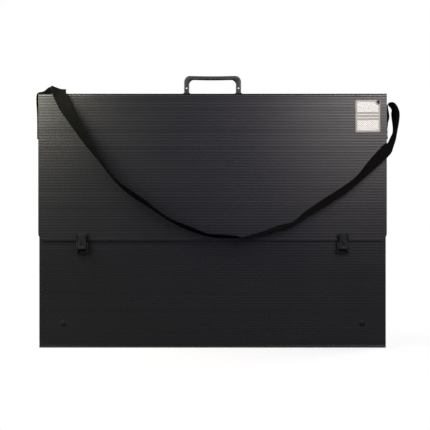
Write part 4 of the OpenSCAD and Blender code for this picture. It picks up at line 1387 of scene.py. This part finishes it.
# Stage
# Each lamp's name, place, target, width in metres, power in watts and colour
LAMPS = (
    ("left", (-0.61, -0.25, 0.81), (-0.25, 0, 0.5), 0.40, 7.8, (1.0, 0.975, 0.82)),
    ("left_fill", (-1.10, -0.60, 0.60), (-0.25, 0, 0.5), 0.5, 6.9, (1.0, 0.99, 0.97)),
    ("right", (0.60, -1.10, 0.85), (0.25, 0, 0.5), 0.5, 5.6, (1.0, 0.94, 0.84)),
    ("right_fill", (0.75, -0.70, 1.10), (0.25, 0, 0.5), 0.5, 11.0, (0.86, 0.79, 1.0)),
    ("front", (0.20, -3.30, 0.76), (0, 0, 0.5), 0.8, 2.9, (0.34, 0.31, 1.0)),
    ("overhead", (0, -0.45, 2.1), (0, -0.1, 0.5), 1.0, 1.6, (1.0, 0.99, 0.97)),
    ("back_left", (-1.5, 2.0, 1.2), (-0.1, 0.05, 0.35), 1.2, 55.0, (1.0, 0.99, 0.97)),
    ("back_right", (1.7, 1.5, 0.8), (0.1, 0.05, 0.35), 1.2, 45.0, (0.98, 0.98, 1.0)),
)
FLOOR_REACH = 3.0


class PORTFOLIO_OT_stage(Operator):
    """Make the floor, the lights and the camera"""
    bl_idname = "portfolio.stage"
    bl_label = "Stage"

    def execute(self, context):
        s = context.scene.portfolio_stage
        corners = [(x * FLOOR_REACH, y * FLOOR_REACH, 0) for x, y in ((-1, -1), (1, -1), (1, 1), (-1, 1))]
        dress(drawn("floor", corners, [], [(0, 1, 2, 3)]), "floor", floor_finish(s))
        context.scene.world = self.world(s)
        for lamp in LAMPS:
            self.light(*lamp)
        camera = bpy.data.cameras.new("camera")
        camera.lens = s.lens
        camera.sensor_width = s.sensor
        holder = linked(bpy.data.objects.new("camera", camera))
        holder.location = (s.aside, FLAP_FACE_Y - s.distance, s.eye)
        holder.rotation_euler = (math.pi / 2, 0, 0)
        context.scene.camera = holder
        context.scene.view_settings.view_transform = "Standard"
        return {"FINISHED"}

    def world(self, s):
        """White to the camera, and a dim room to everything else."""
        world = bpy.data.worlds.new("studio")
        world.use_nodes = True
        graph = Graph(world.node_tree)
        graph.tree.nodes.clear()
        seen = graph.node("ShaderNodeLightPath")["Is Camera Ray"]
        white = graph.node("ShaderNodeBackground", inputs={"Color": (1, 1, 1, 1), "Strength": 1.0})
        room = graph.node("ShaderNodeBackground", inputs={
            "Color": rgba(s.room_colour), "Strength": s.room})
        mixed = graph.node("ShaderNodeMixShader", inputs={
            0: seen, 1: room["Background"], 2: white["Background"]})
        graph.node("ShaderNodeOutputWorld", inputs={"Surface": mixed["Shader"]})
        return world

    def light(self, name, place, target, width, power, colour):
        """A square soft lamp that the camera doesn't see."""
        data = bpy.data.lights.new(name, "AREA")
        data.size = width
        data.energy = power
        data.color = colour
        lamp = linked(bpy.data.objects.new(name, data))
        lamp.location = place
        lamp.rotation_euler = (Vector(target) - Vector(place)).to_track_quat("-Z", "Y").to_euler()
        lamp.visible_camera = False


STEPS = ("stage", "boards", "creases", "hardware", "handle", "strap", "tag")


class PORTFOLIO_PT_case(Panel):
    """Lists the steps that make the case"""
    bl_label = "Portfolio Case"
    bl_idname = "PORTFOLIO_PT_case"
    bl_space_type = "VIEW_3D"
    bl_region_type = "UI"
    bl_category = "Portfolio Case"

    def draw(self, context):
        for step in STEPS:
            self.layout.operator("portfolio." + step)
        for name, group in SETTINGS.items():
            box = self.layout.box()
            for key in group.__annotations__:
                box.prop(getattr(context.scene, name), key)


CLASSES = (*SETTINGS.values(), PORTFOLIO_OT_stage, PORTFOLIO_OT_boards, PORTFOLIO_OT_creases,
           PORTFOLIO_OT_hardware, PORTFOLIO_OT_handle, PORTFOLIO_OT_strap, PORTFOLIO_OT_tag,
           PORTFOLIO_PT_case)


def register():
    for cls in CLASSES:
        bpy.utils.register_class(cls)
    for name, group in SETTINGS.items():
        setattr(bpy.types.Scene, name, PointerProperty(type=group))


def unregister():
    for name in SETTINGS:
        delattr(bpy.types.Scene, name)
    for cls in reversed(CLASSES):
        bpy.utils.unregister_class(cls)


def main():
    register()
    for step in STEPS:
        getattr(bpy.ops.portfolio, step)()


if __name__ == "__main__":
    main()
